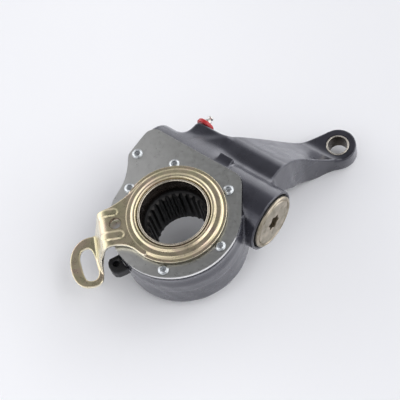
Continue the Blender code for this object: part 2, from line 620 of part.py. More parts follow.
slot_cut = outline_solid("slot_cut", [slot_pts], -40.0, 20.0, False)
hole_cut = turned("arm_hole", rod(4.2, -10.0, 20.0), 20, False, "Z", (39.8, 1.4, 0))
boolean(control_arm, slot_cut)
boolean(control_arm, hole_cut)
for ob in (control_arm, arm_sheet, slot_cut, hole_cut):
    ob.parent = arm_pivot
arm_pivot.rotation_euler = (0.0, 0.0, ARM_ANGLE)
finish(control_arm, GOLD)
finish(turned("control_collar", [(24.0, COLLAR_Z[1]), (24.5, 5.3), (COLLAR_R[1], 4.9), (COLLAR_R[1], COLLAR_Z[0]), (COLLAR_R[0], COLLAR_Z[0]),
                                 (COLLAR_R[0], 5.0), (23.3, 5.3)], 48), STEEL)
control_disc = outline_solid("control_disc", [arc(0, 0, DISC_R[1], 0, 360, 48)[:-1], arc(0, 0, DISC_R[0], 0, 360, 40)[:-1]], *DISC_Z)
notch = block("disc_notch", (-40.0, -30.8), (-RACK_PIN[2] - 0.5, RACK_PIN[2] + 0.5), (-12.0, 0.0))
boolean(control_disc, notch)
finish(control_disc, STEEL)

# ----------------------------------------------------------------- side stop
wall = 45.55
STOP_Z = (-22.0, -14.5)
side_plan = arc(0, 0, wall, -102.8, -119.3, 4)
for r, a in ((52.6, -119.3), (54.4, -117.2), (55.3, -114.2), (55.6, -110.8), (55.0, -107.6), (53.0, -105.4)):
    side_plan.append((r * math.cos(math.radians(a)), r * math.sin(math.radians(a))))
side_stop = outline_solid("side_stop", [side_plan], *STOP_Z)
stop_hole = turned("stop_hole", rod(2.3, -19.0, -10.0), 16, False, "Z", (-19.6, -45.8, 0))
boolean(side_stop, stop_hole)
finish(side_stop, PLASTIC)

# ------------------------------------------------------------- grease nipple
NA = (NIPPLE[0], 0, NIPPLE[1])
y0 = BOSS_FACE_Y
finish(turned("grease_nipple", [(0, y0 + 9.6), (1.1, y0 + 9.6), (2.0, y0 + 8.8), (2.2, y0 + 8.1), (1.5, y0 + 7.2), (1.5, y0 + 6.6), (2.4, y0 + 5.9),
                                (2.7, y0 + 4.2), (2.7, y0 - 0.2), (2.7, y0 - 5.6), (2.3, y0 - 6.0), (0, y0 - 6.0)], 16, True, "Y", NA), STEEL)
finish(turned("nipple_ring", [(6.0, y0 + 3.5), (6.6, y0 + 2.9), (6.6, y0 + 0.3), (3.1, y0 + 0.3), (3.1, y0 + 3.5)], 24, True, "Y", NA), RED)
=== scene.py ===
"""Looks of an automatic brake slack adjuster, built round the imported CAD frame.

Frame: origin on the axis of the splined bore at the outer face of the cover
plate, +Z along the bore, +X along the worm, +Y towards the lever. Lengths in
the tables below are millimetres.
"""
import math

import bmesh
import bpy
import numpy as np
from mathutils import Matrix, Vector


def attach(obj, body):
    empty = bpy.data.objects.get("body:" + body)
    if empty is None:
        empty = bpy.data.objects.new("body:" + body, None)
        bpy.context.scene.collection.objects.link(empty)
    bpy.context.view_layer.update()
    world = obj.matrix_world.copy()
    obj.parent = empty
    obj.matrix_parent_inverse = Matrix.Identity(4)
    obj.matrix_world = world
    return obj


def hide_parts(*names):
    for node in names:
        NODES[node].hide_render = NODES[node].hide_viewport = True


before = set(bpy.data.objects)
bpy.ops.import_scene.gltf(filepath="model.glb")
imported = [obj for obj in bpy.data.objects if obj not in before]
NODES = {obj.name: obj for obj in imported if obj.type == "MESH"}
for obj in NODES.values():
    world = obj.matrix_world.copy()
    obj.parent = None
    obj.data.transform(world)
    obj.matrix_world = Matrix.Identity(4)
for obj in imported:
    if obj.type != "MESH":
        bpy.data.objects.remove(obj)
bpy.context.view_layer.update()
MM = 0.001
HOUSING_BODY, ARM_BODY, WHEEL_BODY = "housing_body", "control_arm_body", "worm_wheel_body"


# ================================================================= materials
class Look:
    """A node material with short calls for the nodes that are used here."""

    def __init__(self, name):
        self.mat = bpy.data.materials.new(name)
        self.mat.use_nodes = True
        self.tree = self.mat.node_tree
        self.tree.nodes.clear()
        out = self.tree.nodes.new("ShaderNodeOutputMaterial")
        self.bsdf = self.tree.nodes.new("ShaderNodeBsdfPrincipled")
        self.tree.links.new(self.bsdf.outputs["BSDF"], out.inputs["Surface"])
        self.coord = self.tree.nodes.new("ShaderNodeTexCoord").outputs["Object"]

    def link(self, a, b):
        self.tree.links.new(a, b)

    def set(self, **values):
        for key, value in values.items():
            self.bsdf.inputs[key.replace("_", " ")].default_value = value

    def to(self, socket, key):
        self.link(socket, self.bsdf.inputs[key])

    def noise(self, scale, detail=2.0, rough=0.5, stretch=(1, 1, 1), turn=(0, 0, 0), warp=0.0):
        vec = self.coord
        if stretch != (1, 1, 1) or turn != (0, 0, 0):
            spin = self.tree.nodes.new("ShaderNodeMapping")
            spin.inputs["Rotation"].default_value = turn
            self.link(vec, spin.inputs["Vector"])
            vec = spin.outputs["Vector"]
            size = self.tree.nodes.new("ShaderNodeMapping")
            size.inputs["Scale"].default_value = stretch
            self.link(vec, size.inputs["Vector"])
            vec = size.outputs["Vector"]
        node = self.tree.nodes.new("ShaderNodeTexNoise")
        node.inputs["Scale"].default_value = scale
        node.inputs["Detail"].default_value = detail
        node.inputs["Roughness"].default_value = rough
        node.inputs["Distortion"].default_value = warp
        self.link(vec, node.inputs["Vector"])
        return node.outputs["Fac"]

    def voronoi(self, scale, feature="F1"):
        node = self.tree.nodes.new("ShaderNodeTexVoronoi")
        node.feature = feature
        node.inputs["Scale"].default_value = scale
        self.link(self.coord, node.inputs["Vector"])
        return node.outputs["Distance"]

    def ramp(self, fac, stops, smooth=True):
        node = self.tree.nodes.new("ShaderNodeValToRGB")
        if smooth:
            node.color_ramp.interpolation = "EASE"
        ramp = node.color_ramp.elements
        while len(ramp) < len(stops):
            ramp.new(0.5)
        for element, (at, colour) in zip(ramp, stops):
            element.position = at
            if isinstance(colour, (int, float)):
                colour = (colour, colour, colour)
            element.color = (*colour, 1.0)
        self.link(fac, node.inputs["Fac"])
        return node.outputs["Color"]

    def mix(self, fac, a, b):
        node = self.tree.nodes.new("ShaderNodeMix")
        node.data_type = "RGBA"
        for socket, value in ((node.inputs[0], fac), (node.inputs[6], a), (node.inputs[7], b)):
            if isinstance(value, bpy.types.NodeSocket):
                self.link(value, socket)
            elif isinstance(value, (int, float)):
                socket.default_value = value
            else:
                socket.default_value = (*value, 1.0)
        return node.outputs[2]

    def calc(self, how, a, b):
        node = self.tree.nodes.new("ShaderNodeMath")
        node.operation = how
        for socket, value in zip(node.inputs, (a, b)):
            if isinstance(value, bpy.types.NodeSocket):
                self.link(value, socket)
            else:
                socket.default_value = value
        return node.outputs[0]

    def attribute(self, name):
        node = self.tree.nodes.new("ShaderNodeAttribute")
        node.attribute_name = name
        return node.outputs["Fac"]

    def radius(self, x=0.0, y=0.0):
        """Distance of the shaded point from an upright axis, in metres."""
        move = self.tree.nodes.new("ShaderNodeMapping")
        move.inputs["Location"].default_value = (-x, -y, 0.0)
        move.inputs["Scale"].default_value = (1.0, 1.0, 0.0)
        self.link(self.coord, move.inputs["Vector"])
        node = self.tree.nodes.new("ShaderNodeVectorMath")
        node.operation = "LENGTH"
        self.link(move.outputs["Vector"], node.inputs[0])
        return node.outputs["Value"]

    def height(self):
        node = self.tree.nodes.new("ShaderNodeSeparateXYZ")
        self.link(self.coord, node.inputs["Vector"])
        return node.outputs["Z"]

    def within(self, value, low, high):
        """0 below low, 1 above high."""
        node = self.tree.nodes.new("ShaderNodeMapRange")
        node.interpolation_type = "SMOOTHSTEP"
        node.inputs["From Min"].default_value = low
        node.inputs["From Max"].default_value = high
        self.link(value, node.inputs["Value"])
        return node.outputs["Result"]

    def rim(self, low=0.80, high=0.985):
        """1 on rounded rims of a flat part, 0 on its faces."""
        split = self.tree.nodes.new("ShaderNodeSeparateXYZ")
        self.link(self.coord.node.outputs["Normal"], split.inputs["Vector"])
        return self.calc("SUBTRACT", 1.0, self.within(split.outputs["Z"], low, high))

    def bump(self, height, strength, distance, under=None):
        node = self.tree.nodes.new("ShaderNodeBump")
        node.inputs["Strength"].default_value = strength
        node.inputs["Distance"].default_value = distance
        self.link(height, node.inputs["Height"])
        if under is not None:
            self.link(under, node.inputs["Normal"])
        return node.outputs["Normal"]


def casting_look():
    look = Look("look_painted_casting")
    look.set(Metallic=0.0, IOR=1.5, Specular_IOR_Level=0.4, Coat_Weight=0.82, Coat_IOR=1.5, Coat_Roughness=0.16, Specular_Tint=(0.80, 0.81, 1.0, 1.0), Coat_Tint=(0.94, 0.945, 1.0, 1.0))
    broad = look.noise(38.0, 3.0, 0.55)
    fine = look.noise(900.0, 3.0, 0.6)
    look.to(look.ramp(look.noise(70.0, 4.0, 0.6), [(0.3, (0.015, 0.015, 0.019)), (0.55, (0.022, 0.022, 0.027)), (0.75, (0.032, 0.0325, 0.039))]), "Base Color")
    look.to(look.ramp(broad, [(0.3, 0.22), (0.7, 0.36)]), "Roughness")
    first = look.bump(look.noise(95.0, 3.0, 0.6), 0.30, 0.0006)
    first = look.bump(look.noise(330.0, 3.0, 0.6), 0.32, 0.00020, first)
    look.to(look.bump(fine, 0.22, 0.00006, first), "Normal")
    return look.mat


def zinc_look():
    look = Look("look_zinc_plate")
    look.set(Metallic=1.0)
    turn = (0, 0, math.radians(-32))
    grain = look.noise(330.0, 4.0, 0.7, warp=0.6)
    streak = look.noise(110.0, 5.0, 0.7, (1.0, 5.0, 4.0), turn)
    cloud = look.noise(38.0, 3.0, 0.5)
    tint = look.ramp(cloud, [(0.3, (0.42, 0.425, 0.40)), (0.6, (0.47, 0.475, 0.455)), (0.8, (0.51, 0.51, 0.50))])
    tint = look.mix(look.ramp(grain, [(0.35, 0.0), (0.68, 0.35)]), tint, (0.60, 0.605, 0.60))
    tint = look.mix(look.ramp(streak, [(0.4, 0.0), (0.7, 0.45)]), tint, (0.40, 0.405, 0.40))
    # Painted light: the plate is tinted lighter within about 11 cm of a point at its left end, standing in for a
    # brighter reflection there.
    tint = look.mix(look.within(look.radius(-0.070, -0.030), 0.110, 0.040), tint, (0.80, 0.80, 0.775))
    # Rounded rims get a near-white tint: partly a shinier cut edge, partly a painted highlight along the plate's edge.
    rim = look.rim()
    look.to(look.mix(rim, tint, (0.93, 0.93, 0.92)), "Base Color")
    look.to(look.mix(rim, look.ramp(grain, [(0.3, 0.27), (0.7, 0.37)]), (0.25, 0.25, 0.25)), "Roughness")
    first = look.bump(streak, 0.12, 0.00006)
    look.to(look.bump(look.noise(1100.0, 3.0, 0.6), 0.16, 0.00003, first), "Normal")
    return look.mat


def screw_look():
    look = Look("look_zinc_screw")
    look.set(Metallic=1.0)
    cloud = look.noise(900.0, 3.0, 0.5)
    look.to(look.ramp(cloud, [(0.3, (0.40, 0.42, 0.43)), (0.7, (0.56, 0.58, 0.60))]), "Base Color")
    look.to(look.ramp(look.noise(1500.0, 2.0, 0.5), [(0.3, 0.26), (0.7, 0.38)]), "Roughness")
    look.to(look.bump(look.noise(2600.0, 2.0, 0.5), 0.2, 0.00003), "Normal")
    return look.mat


def gold_look(name, rim_highlight=None):
    look = Look(name)
    look.set(Metallic=1.0)
    broad = look.noise(75.0, 3.0, 0.55, warp=0.6)
    patch = look.noise(160.0, 4.0, 0.6, warp=0.8)
    base = look.ramp(broad, [(0.32, (0.50, 0.465, 0.30)), (0.5, (0.60, 0.53, 0.36)), (0.68, (0.62, 0.50, 0.38))])
    tint = look.mix(look.ramp(patch, [(0.45, 0.0), (0.75, 0.55)]), base, (0.58, 0.46, 0.38))
    if rim_highlight:
        # Painted highlight: the bends and rims of the pressing are tinted near white.
        tint = look.mix(look.rim(0.40, 0.88), tint, rim_highlight)
        # Painted shade: the walls of the hole in the neck are tinted dark brown.
        tint = look.mix(look.within(look.radius(-0.02912, -0.02717), 0.0043, 0.0040), tint, (0.15, 0.10, 0.065))
    look.to(tint, "Base Color")
    look.to(look.ramp(look.noise(220.0, 3.0, 0.6), [(0.3, 0.24), (0.7, 0.36)]), "Roughness")
    first = look.bump(look.noise(300.0, 3.0, 0.55), 0.12, 0.00005)
    look.to(look.bump(look.noise(2200.0, 2.0, 0.6), 0.10, 0.000012, first), "Normal")
    return look.mat


def steel_look(name="look_machined_steel", low=(0.50, 0.49, 0.47), high=(0.66, 0.65, 0.62), rough=(0.2, 0.34)):
    look = Look(name)
    look.set(Metallic=1.0)
    look.to(look.ramp(look.noise(180.0, 4.0, 0.6), [(0.3, low), (0.7, high)]), "Base Color")
    look.to(look.ramp(look.noise(420.0, 3.0, 0.6), [(0.3, rough[0]), (0.7, rough[1])]), "Roughness")
    look.to(look.bump(look.noise(1600.0, 2.0, 0.5), 0.1, 0.000012), "Normal")
    return look.mat


def pale_look():
    look = Look("look_pale_passivated")
    look.set(Metallic=1.0)
    base = look.ramp(look.noise(160.0, 4.0, 0.6), [(0.34, (0.26, 0.23, 0.17)), (0.5, (0.37, 0.33, 0.26)), (0.66, (0.49, 0.43, 0.35))])
    specks = look.ramp(look.noise(560.0, 3.0, 0.6), [(0.60, 0.0), (0.72, 0.6)])
    look.to(look.mix(specks, base, (0.30, 0.25, 0.18)), "Base Color")
    look.to(look.ramp(look.noise(500.0, 3.0, 0.6), [(0.3, 0.30), (0.7, 0.44)]), "Roughness")
    look.to(look.bump(look.noise(1500.0, 3.0, 0.6), 0.3, 0.00004), "Normal")
    return look.mat


def dark_steel_look():
    look = Look("look_hardened_steel")
    look.set(Metallic=0.2, IOR=1.38)
    black = look.ramp(look.noise(320.0, 4.0, 0.6), [(0.3, (0.006, 0.006, 0.007)), (0.7, (0.014, 0.013, 0.013))])
    # Painted glints: the front ends of the spline teeth are tinted lighter than the black steel.
    tip_glints = look.calc("MULTIPLY", look.within(look.height(), -0.0116, -0.0108), look.calc("SUBTRACT", 1.0, look.within(look.radius(), 0.0205, 0.0213)))
    look.to(look.mix(tip_glints, black, (0.04, 0.038, 0.036)), "Base Color")
    look.to(look.ramp(look.noise(700.0, 3.0, 0.6), [(0.3, 0.30), (0.7, 0.46)]), "Roughness")
    look.to(look.bump(look.noise(1200.0, 3.0, 0.6), 0.2, 0.00003), "Normal")
    return look.mat


def lined_look(name, bright, dark, x, y, split):
    """Bright rim and a bore darkened by painted shade, split at a radius round an axis."""
    look = Look(name)
    look.set(Metallic=1.0)
    outside = look.within(look.radius(x, y), split - 0.0001, split + 0.0001)
    cloud = look.noise(260.0, 4.0, 0.6)
    shiny = look.ramp(cloud, [(0.3, tuple(0.85 * c for c in bright)), (0.7, bright)])
    # Painted shade: inside the split radius the steel is tinted dark.
    shaded_bore = look.ramp(cloud, [(0.3, tuple(0.6 * c for c in dark)), (0.7, dark)])
    look.to(look.mix(outside, shaded_bore, shiny), "Base Color")
    look.to(look.ramp(look.noise(500.0, 3.0, 0.6), [(0.3, 0.24), (0.7, 0.36)]), "Roughness")
    look.to(look.bump(look.noise(900.0, 2.0, 0.5), 0.05, 0.00001), "Normal")
    return look.mat


def plain_look(name, low, high, rough, grain, strength, metallic=0.0):
    look = Look(name)
    look.set(Metallic=metallic, IOR=1.5)
    look.to(look.ramp(look.noise(grain * 0.3, 3.0, 0.6), [(0.3, low), (0.7, high)]), "Base Color")
    look.to(look.ramp(look.noise(grain * 0.6, 3.0, 0.6), [(0.3, rough[0]), (0.7, rough[1])]), "Roughness")
    look.to(look.bump(look.noise(grain, 3.0, 0.6), strength, 0.00006), "Normal")
    return look.mat


CASTING = casting_look()
ZINC = zinc_look()
SCREW = screw_look()
GOLD = gold_look("look_yellow_passivated_ring")
# The arm's extra colour is a painted highlight on its bends and rims.
GOLD_ARM = gold_look("look_yellow_passivated_arm", (0.92, 0.87, 0.72))
STEEL = steel_look()
# The second colour of each lined look is the painted shade inside its bore.
BUSH = lined_look("look_bush_steel", (0.62, 0.58, 0.52), (0.10, 0.085, 0.07), 0.040, 0.1297, 0.00722)
COLLAR = lined_look("look_collar_steel", (0.62, 0.56, 0.46), (0.075, 0.05, 0.035), 0.0, 0.0, 0.02315)
PALE = pale_look()
HARD = dark_steel_look()
SPRING = steel_look("look_spring_steel", (0.16, 0.16, 0.17), (0.28, 0.28, 0.29), (0.28, 0.42))
RUBBER = plain_look("look_black_rubber", (0.012, 0.012, 0.013), (0.022, 0.022, 0.023), (0.5, 0.68), 1400.0, 0.25)
PLASTIC = plain_look("look_black_block", (0.007, 0.007, 0.009), (0.014, 0.014, 0.016), (0.34, 0.5), 1200.0, 0.3)
RED = plain_look("look_red_plastic", (0.38, 0.016, 0.020), (0.50, 0.030, 0.034), (0.24, 0.38), 900.0, 0.2)
BRONZE = steel_look("look_bronze", (0.40, 0.26, 0.13), (0.52, 0.36, 0.19), (0.3, 0.42))
FIBRE = plain_look("look_gasket_fibre", (0.03, 0.03, 0.028), (0.07, 0.068, 0.06), (0.75, 0.9), 1500.0, 0.5)


# ============================================================ mesh utilities
def piece(name, mesh, mat, body, node, sharp=35.0):
    ob = bpy.data.objects.new(name, mesh)
    bpy.context.scene.collection.objects.link(ob)
    mesh.materials.clear()
    mesh.materials.append(mat)
    if sharp is not None:
        mesh.shade_smooth()
        mesh.set_sharp_from_angle(angle=math.radians(sharp))
    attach(ob, body)
    if node:
        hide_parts(node)
    return ob


def fillet(profile, reach, n=4, closed=True):
    """Corners of a profile rounded by short curves of the given reach."""
    pts = [np.array(p, float) for p in profile]
    out = []
    count = len(pts)
    for i, p in enumerate(pts):
        if not closed and i in (0, count - 1):
            out.append(p)
            continue
        a, b = pts[i - 1] - p, pts[(i + 1) % count] - p
        la, lb = np.linalg.norm(a), np.linalg.norm(b)
        turn = abs(a[0] * b[1] - a[1] * b[0]) / (la * lb)
        if turn < 0.05:
            out.append(p)
            continue
        d = min(reach, 0.46 * la, 0.46 * lb)
        p0, p1 = p + a / la * d, p + b / lb * d
        for k in range(n + 1):
            t = k / n
            out.append((1 - t) ** 2 * p0 + 2 * t * (1 - t) * p + t * t * p1)
    return [tuple(p) for p in out]


AXES = {"Z": lambda a, b, c: (a, b, c), "X": lambda a, b, c: (c, b, -a), "Y": lambda a, b, c: (a, c, -b)}


def ring_mesh(name, rings, axis="Z", at=(0, 0, 0), loop=False):
    """Skin through rings of points in local axes. With loop the last ring
    joins the first, else the two ends close on points at their middle."""
    seg = len(rings[0])
    grid = np.array(rings, float)
    local = grid.reshape(-1, 3)
    faces = []
    rows = len(rings)
    for i in range(rows if loop else rows - 1):
        k = (i + 1) % rows
        for j in range(seg):
            m = (j + 1) % seg
            faces.append((i * seg + j, k * seg + j, k * seg + m, i * seg + m))
    if not loop:
        top, end = grid[0].mean(axis=0), grid[-1].mean(axis=0)
        local = np.vstack([local, top, end])
        for j in range(seg):
            m = (j + 1) % seg
            faces.append((len(local) - 2, j, m))
            faces.append((len(local) - 1, (rows - 1) * seg + m, (rows - 1) * seg + j))
    put = np.array([AXES[axis](*p) for p in local]) + np.array(at, float)
    mesh = bpy.data.meshes.new(name)
    mesh.from_pydata([tuple(p * MM) for p in put], [], faces)
    bm = bmesh.new()
    bm.from_mesh(mesh)
    bmesh.ops.recalc_face_normals(bm, faces=bm.faces)
    bm.to_mesh(mesh)
    bm.free()
    return mesh


def lathe(name, profile, seg=96, axis="Z", at=(0, 0, 0), shape=None):
    """Turned mesh from a closed profile of (radius, height)."""
    angle = np.arange(seg) * 2 * math.pi / seg
    solid = any(r < 1e-6 for r, _ in profile)
    rows = [p for p in profile if p[0] > 1e-6]
    rings = []
    for r, h in rows:
        rr = r if shape is None else shape(r, h, angle)
        rings.append(np.stack([rr * np.cos(angle), rr * np.sin(angle), np.full(seg, h)], axis=1))
    return ring_mesh(name, rings, axis, at, loop=not solid)


def spline_loop(points, sub=4):
    """Closed curve through the points, finely sampled."""
    p = np.array(points, float)
    out = []
    n = len(p)
    for i in range(n):
        a, b, c, d = p[i - 1], p[i], p[(i + 1) % n], p[(i + 2) % n]
        for k in range(sub):
            t = k / sub
            out.append(0.5 * (2 * b + (c - a) * t + (2 * a - 5 * b + 4 * c - d) * t * t + (3 * b - a - 3 * c + d) * t ** 3))
    return np.array(out)


def circle(cx, cy, r, n):
    a = np.arange(n) * 2 * math.pi / n
    return np.stack([cx + r * np.cos(a), cy + r * np.sin(a)], axis=1)


def flat_piece(name, loops, z0, z1, edge, segments=3):
    """Flat outline with a thickness and rounded rims."""
    curve = bpy.data.curves.new(name + "_outline", "CURVE")
    curve.dimensions = "2D"
    curve.fill_mode = "BOTH"
    curve.extrude = 0.5 * (z1 - z0) * MM
    for loop in loops:
        spline = curve.splines.new("POLY")
        spline.points.add(len(loop) - 1)
        for point, (x, y) in zip(spline.points, loop):
            point.co = (x * MM, y * MM, 0.0, 1.0)
        spline.use_cyclic_u = True
    guide = bpy.data.objects.new(name + "_outline", curve)
    bpy.context.scene.collection.objects.link(guide)
    bpy.context.view_layer.update()
    mesh = bpy.data.meshes.new_from_object(guide.evaluated_get(bpy.context.evaluated_depsgraph_get()))
    bpy.data.objects.remove(guide, do_unlink=True)
    bpy.data.curves.remove(curve)
    bm = bmesh.new()
    bm.from_mesh(mesh)
    bmesh.ops.remove_doubles(bm, verts=bm.verts, dist=0.000001)
    bmesh.ops.translate(bm, verts=bm.verts, vec=(0, 0, 0.5 * (z0 + z1) * MM))
    bmesh.ops.recalc_face_normals(bm, faces=bm.faces)
    rims = [e for e in bm.edges if len(e.link_faces) == 2 and e.calc_face_angle(0.0) > 1.0
            and abs(e.verts[0].co.z - e.verts[1].co.z) < 1e-7]
    if edge:
        bmesh.ops.bevel(bm, geom=rims, offset=edge * MM, offset_type="OFFSET", segments=segments, profile=0.5,
                        affect="EDGES", clamp_overlap=True)
    bm.to_mesh(mesh)
    bm.free()
    mesh.name = name
    return mesh


def flat_shading(ob):
    mod = ob.modifiers.new("face_weights", "WEIGHTED_NORMAL")
    mod.keep_sharp = True
    mod.weight = 100
    return ob


# ========================================================== distance fields
def smin(a, b, k):
    h = np.maximum(k - np.abs(a - b), 0.0) / k
    return np.minimum(a, b) - h * h * (k * 0.25)


def smax(a, b, k):
    return -smin(-a, -b, k)


def corner(a, b, r):
    """Inside of both a and b, with their meeting edge rounded to radius r."""
    a, b = a + r, b + r
    return np.minimum(np.maximum(a, b), 0.0) + np.hypot(np.maximum(a, 0.0), np.maximum(b, 0.0)) - r


def step_up(x):
    x = np.clip(x, 0.0, 1.0)
    return x * x * (3 - 2 * x)


class Field:
    """A quantity on a flat grid, read with straight interpolation."""

    def __init__(self, x0, y0, step, data):
        self.x0, self.y0, self.step, self.data = x0, y0, step, data

    def __call__(self, x, y):
        nx, ny = self.data.shape
        fx = np.clip((x - self.x0) / self.step, 0.0, nx - 1.001)
        fy = np.clip((y - self.y0) / self.step, 0.0, ny - 1.001)
        ix, iy = fx.astype(np.int32), fy.astype(np.int32)
        tx, ty = fx - ix, fy - iy
        flat = self.data.ravel()
        at = ix * ny + iy
        return ((flat[at] * (1 - tx) + flat[at + ny] * tx) * (1 - ty)
                + (flat[at + 1] * (1 - tx) + flat[at + ny + 1] * tx) * ty)


def path_field(points, step, pad, closed=True):
    """Signed distance to a path and the length along it at the nearest point.
    For a closed path the sign is negative inside, else it is the side."""
    p = np.array(points, float)
    lo, hi = p.min(axis=0) - pad, p.max(axis=0) + pad
    gx, gy = np.arange(lo[0], hi[0], step), np.arange(lo[1], hi[1], step)
    x, y = np.meshgrid(gx, gy, indexing="ij")
    best = np.full(x.shape, 1e9)
    along = np.zeros(x.shape)
    side = np.zeros(x.shape)
    inside = np.zeros(x.shape, bool)
    total = 0.0
    n = len(p)
    for i in range(n if closed else n - 1):
        a, b = p[i], p[(i + 1) % n]
        e = b - a
        length = math.hypot(*e)
        if length < 1e-9:
            continue
        t = np.clip(((x - a[0]) * e[0] + (y - a[1]) * e[1]) / length ** 2, 0.0, 1.0)
        dx, dy = x - a[0] - t * e[0], y - a[1] - t * e[1]
        d = dx * dx + dy * dy
        near = d < best
        best = np.where(near, d, best)
        along = np.where(near, total + t * length, along)
        side = np.where(near, e[0] * (y - a[1]) - e[1] * (x - a[0]), side)
        if closed:
            cross = (a[1] > y) != (b[1] > y)
            with np.errstate(divide="ignore", invalid="ignore"):
                hit = x < e[0] * (y - a[1]) / (e[1] if e[1] else 1e-12) + a[0]
            inside ^= cross & hit
        total += length
    dist = np.sqrt(best)
    dist = np.where(inside, -dist, dist) if closed else np.where(side < 0, -dist, dist)
    return Field(lo[0], lo[1], step, dist), Field(lo[0], lo[1], step, along)


def contour(name, sdf, lo, hi, h, wave=None):
    """Dual contouring of a distance function into a closed mesh of quads that
    keeps sharp edges, with shading normals taken from the function."""
    lo = np.array(lo, float) - 1.37 * h
    n = np.ceil((np.array(hi, float) - lo) / h).astype(int) + 2
    grid = [lo[i] + h * np.arange(n[i]) for i in range(3)]
    values = np.empty(n, np.float32)
    for i in range(0, n[0], 12):
        x, y, z = np.meshgrid(grid[0][i:i + 12], grid[1], grid[2], indexing="ij")
        values[i:i + 12] = sdf(x.ravel(), y.ravel(), z.ravel()).reshape(x.shape)

    def at(p):
        return sdf(p[:, 0], p[:, 1], p[:, 2])

    def gradient(p, eps=0.015):
        g = np.empty_like(p)
        for k in range(3):
            q = p.copy()
            q[:, k] += eps
            up = at(q)
            q[:, k] -= 2 * eps
            g[:, k] = up - at(q)
        return g / np.maximum(np.linalg.norm(g, axis=1, keepdims=True), 1e-12)

    dims = n - 1
    quads, points, normals = [], [], []
    for ax in range(3):
        u, v = (ax + 1) % 3, (ax + 2) % 3
        first, second = [slice(None)] * 3, [slice(None)] * 3
        first[ax], second[ax] = slice(0, -1), slice(1, None)
        a, b = values[tuple(first)], values[tuple(second)]
        idx = np.argwhere((a < 0) != (b < 0))
        idx = idx[(idx[:, u] > 0) & (idx[:, u] < n[u] - 1) & (idx[:, v] > 0) & (idx[:, v] < n[v] - 1)]
        fa, fb = a[tuple(idx.T)].astype(float), b[tuple(idx.T)].astype(float)
        start = lo + h * idx
        t0, t1 = np.zeros(len(idx)), np.ones(len(idx))
        inward = fa < 0
        for turn in range(5):
            t = 0.5 * (t0 + t1) if turn % 2 else t0 + (t1 - t0) * np.clip(fa / (fa - fb), 0.05, 0.95)
            p = start.copy()
            p[:, ax] += t * h
            f = at(p)
            same = (f < 0) == inward
            t0, fa = np.where(same, t, t0), np.where(same, f, fa)
            t1, fb = np.where(same, t1, t), np.where(same, fb, f)
        t = t0 + (t1 - t0) * np.clip(fa / np.where(fa == fb, 1.0, fa - fb), 0.0, 1.0)
        p = start.copy()
        p[:, ax] += t * h
        cells = []
        for du, dv in ((1, 1), (0, 1), (0, 0), (1, 0)):
            c = idx.copy()
            c[:, u] -= du
            c[:, v] -= dv
            cells.append((c[:, 0] * dims[1] + c[:, 1]) * dims[2] + c[:, 2])
        cells = np.stack(cells, axis=1)
        cells[~inward] = cells[~inward][:, ::-1]
        quads.append(cells)
        points.append(p)
        normals.append(gradient(p))
    quads, points, normals = np.concatenate(quads), np.concatenate(points), np.concatenate(normals)
    used, index = np.unique(quads.ravel(), return_inverse=True)
    faces = index.reshape(quads.shape)
    m = len(used)
    base = np.stack([used // (dims[1] * dims[2]), used // dims[2] % dims[1], used % dims[2]], axis=1)
    centre = lo + h * (base + 0.5)
    flat = faces.ravel()
    local = np.repeat(points, 4, axis=0) - centre[flat]
    normal = np.repeat(normals, 4, axis=0)
    count = np.bincount(flat, minlength=m).astype(float)

    def gather(w):
        return np.bincount(flat, weights=w, minlength=m)

    ata = np.empty((m, 3, 3))
    for i in range(3):
        for j in range(i, 3):
            ata[:, i, j] = ata[:, j, i] = gather(normal[:, i] * normal[:, j])
    dots = (normal * local).sum(axis=1)
    atb = np.stack([gather(normal[:, i] * dots) for i in range(3)], axis=1)
    mass = np.stack([gather(local[:, i]) for i in range(3)], axis=1) / count[:, None]
    mean = np.stack([gather(normal[:, i]) for i in range(3)], axis=1) / count[:, None]
    right = atb - np.einsum("nij,nj->ni", ata, mass)
    left = ata + np.eye(3) * (0.03 * count)[:, None, None]
    shift = mass + np.linalg.solve(left, right[:, :, None])[:, :, 0]
    verts = centre + np.clip(shift, -0.5 * h, 0.5 * h)
    smooth = gradient(verts)
    plain = (np.linalg.norm(mean, axis=1) > 0.955) & ((smooth * mean).sum(axis=1) > 0.9)
    corners = smooth[faces]
    special = ~plain[faces]
    middle = verts[faces].mean(axis=1, keepdims=True)
    probe = verts[faces] + 0.4 * (middle - verts[faces])
    corners[special] = gradient(probe[special])
    mesh = bpy.data.meshes.new(name)
    mesh.vertices.add(m)
    mesh.vertices.foreach_set("co", (verts * MM).astype(np.float32).ravel())
    mesh.loops.add(len(flat))
    mesh.loops.foreach_set("vertex_index", flat.astype(np.int32))
    mesh.polygons.add(len(faces))
    mesh.polygons.foreach_set("loop_start", np.arange(0, len(flat), 4, dtype=np.int32))
    mesh.update(calc_edges=True)
    mesh.polygons.foreach_set("use_smooth", np.ones(len(faces), bool))
    mesh.normals_split_custom_set(corners.reshape(-1, 3).tolist())
    print(name, m, "points", len(faces), "quads", "open", int((~np.isfinite(verts)).sum()))
    return mesh


def smooth_table(points, sigma=1.8, step=0.25):
    x = np.arange(points[0][0] - 4, points[-1][0] + 4, step)
    y = np.interp(x, [p[0] for p in points], [p[1] for p in points])
    reach = int(4 * sigma / step)
    k = np.exp(-0.5 * (np.arange(-reach, reach + 1) * step / sigma) ** 2)
    y = np.convolve(np.pad(y, reach, mode="edge"), k / k.sum(), "valid")
    return x, y, np.gradient(y, step)


rng = np.random.default_rng(7)
WAVES = [(rng.normal(size=3), rng.uniform(0, 6.28), rng.uniform(8, 26)) for _ in range(10)]
WAVES = [(d / np.linalg.norm(d) * 2 * math.pi / length, phase) for d, phase, length in WAVES]


def unevenness(x, y, z, size):
    total = 0.0
    for (kx, ky, kz), phase in WAVES:
        total = total + np.sin(kx * x + ky * y + kz * z + phase)
    return total * (size / math.sqrt(len(WAVES)))


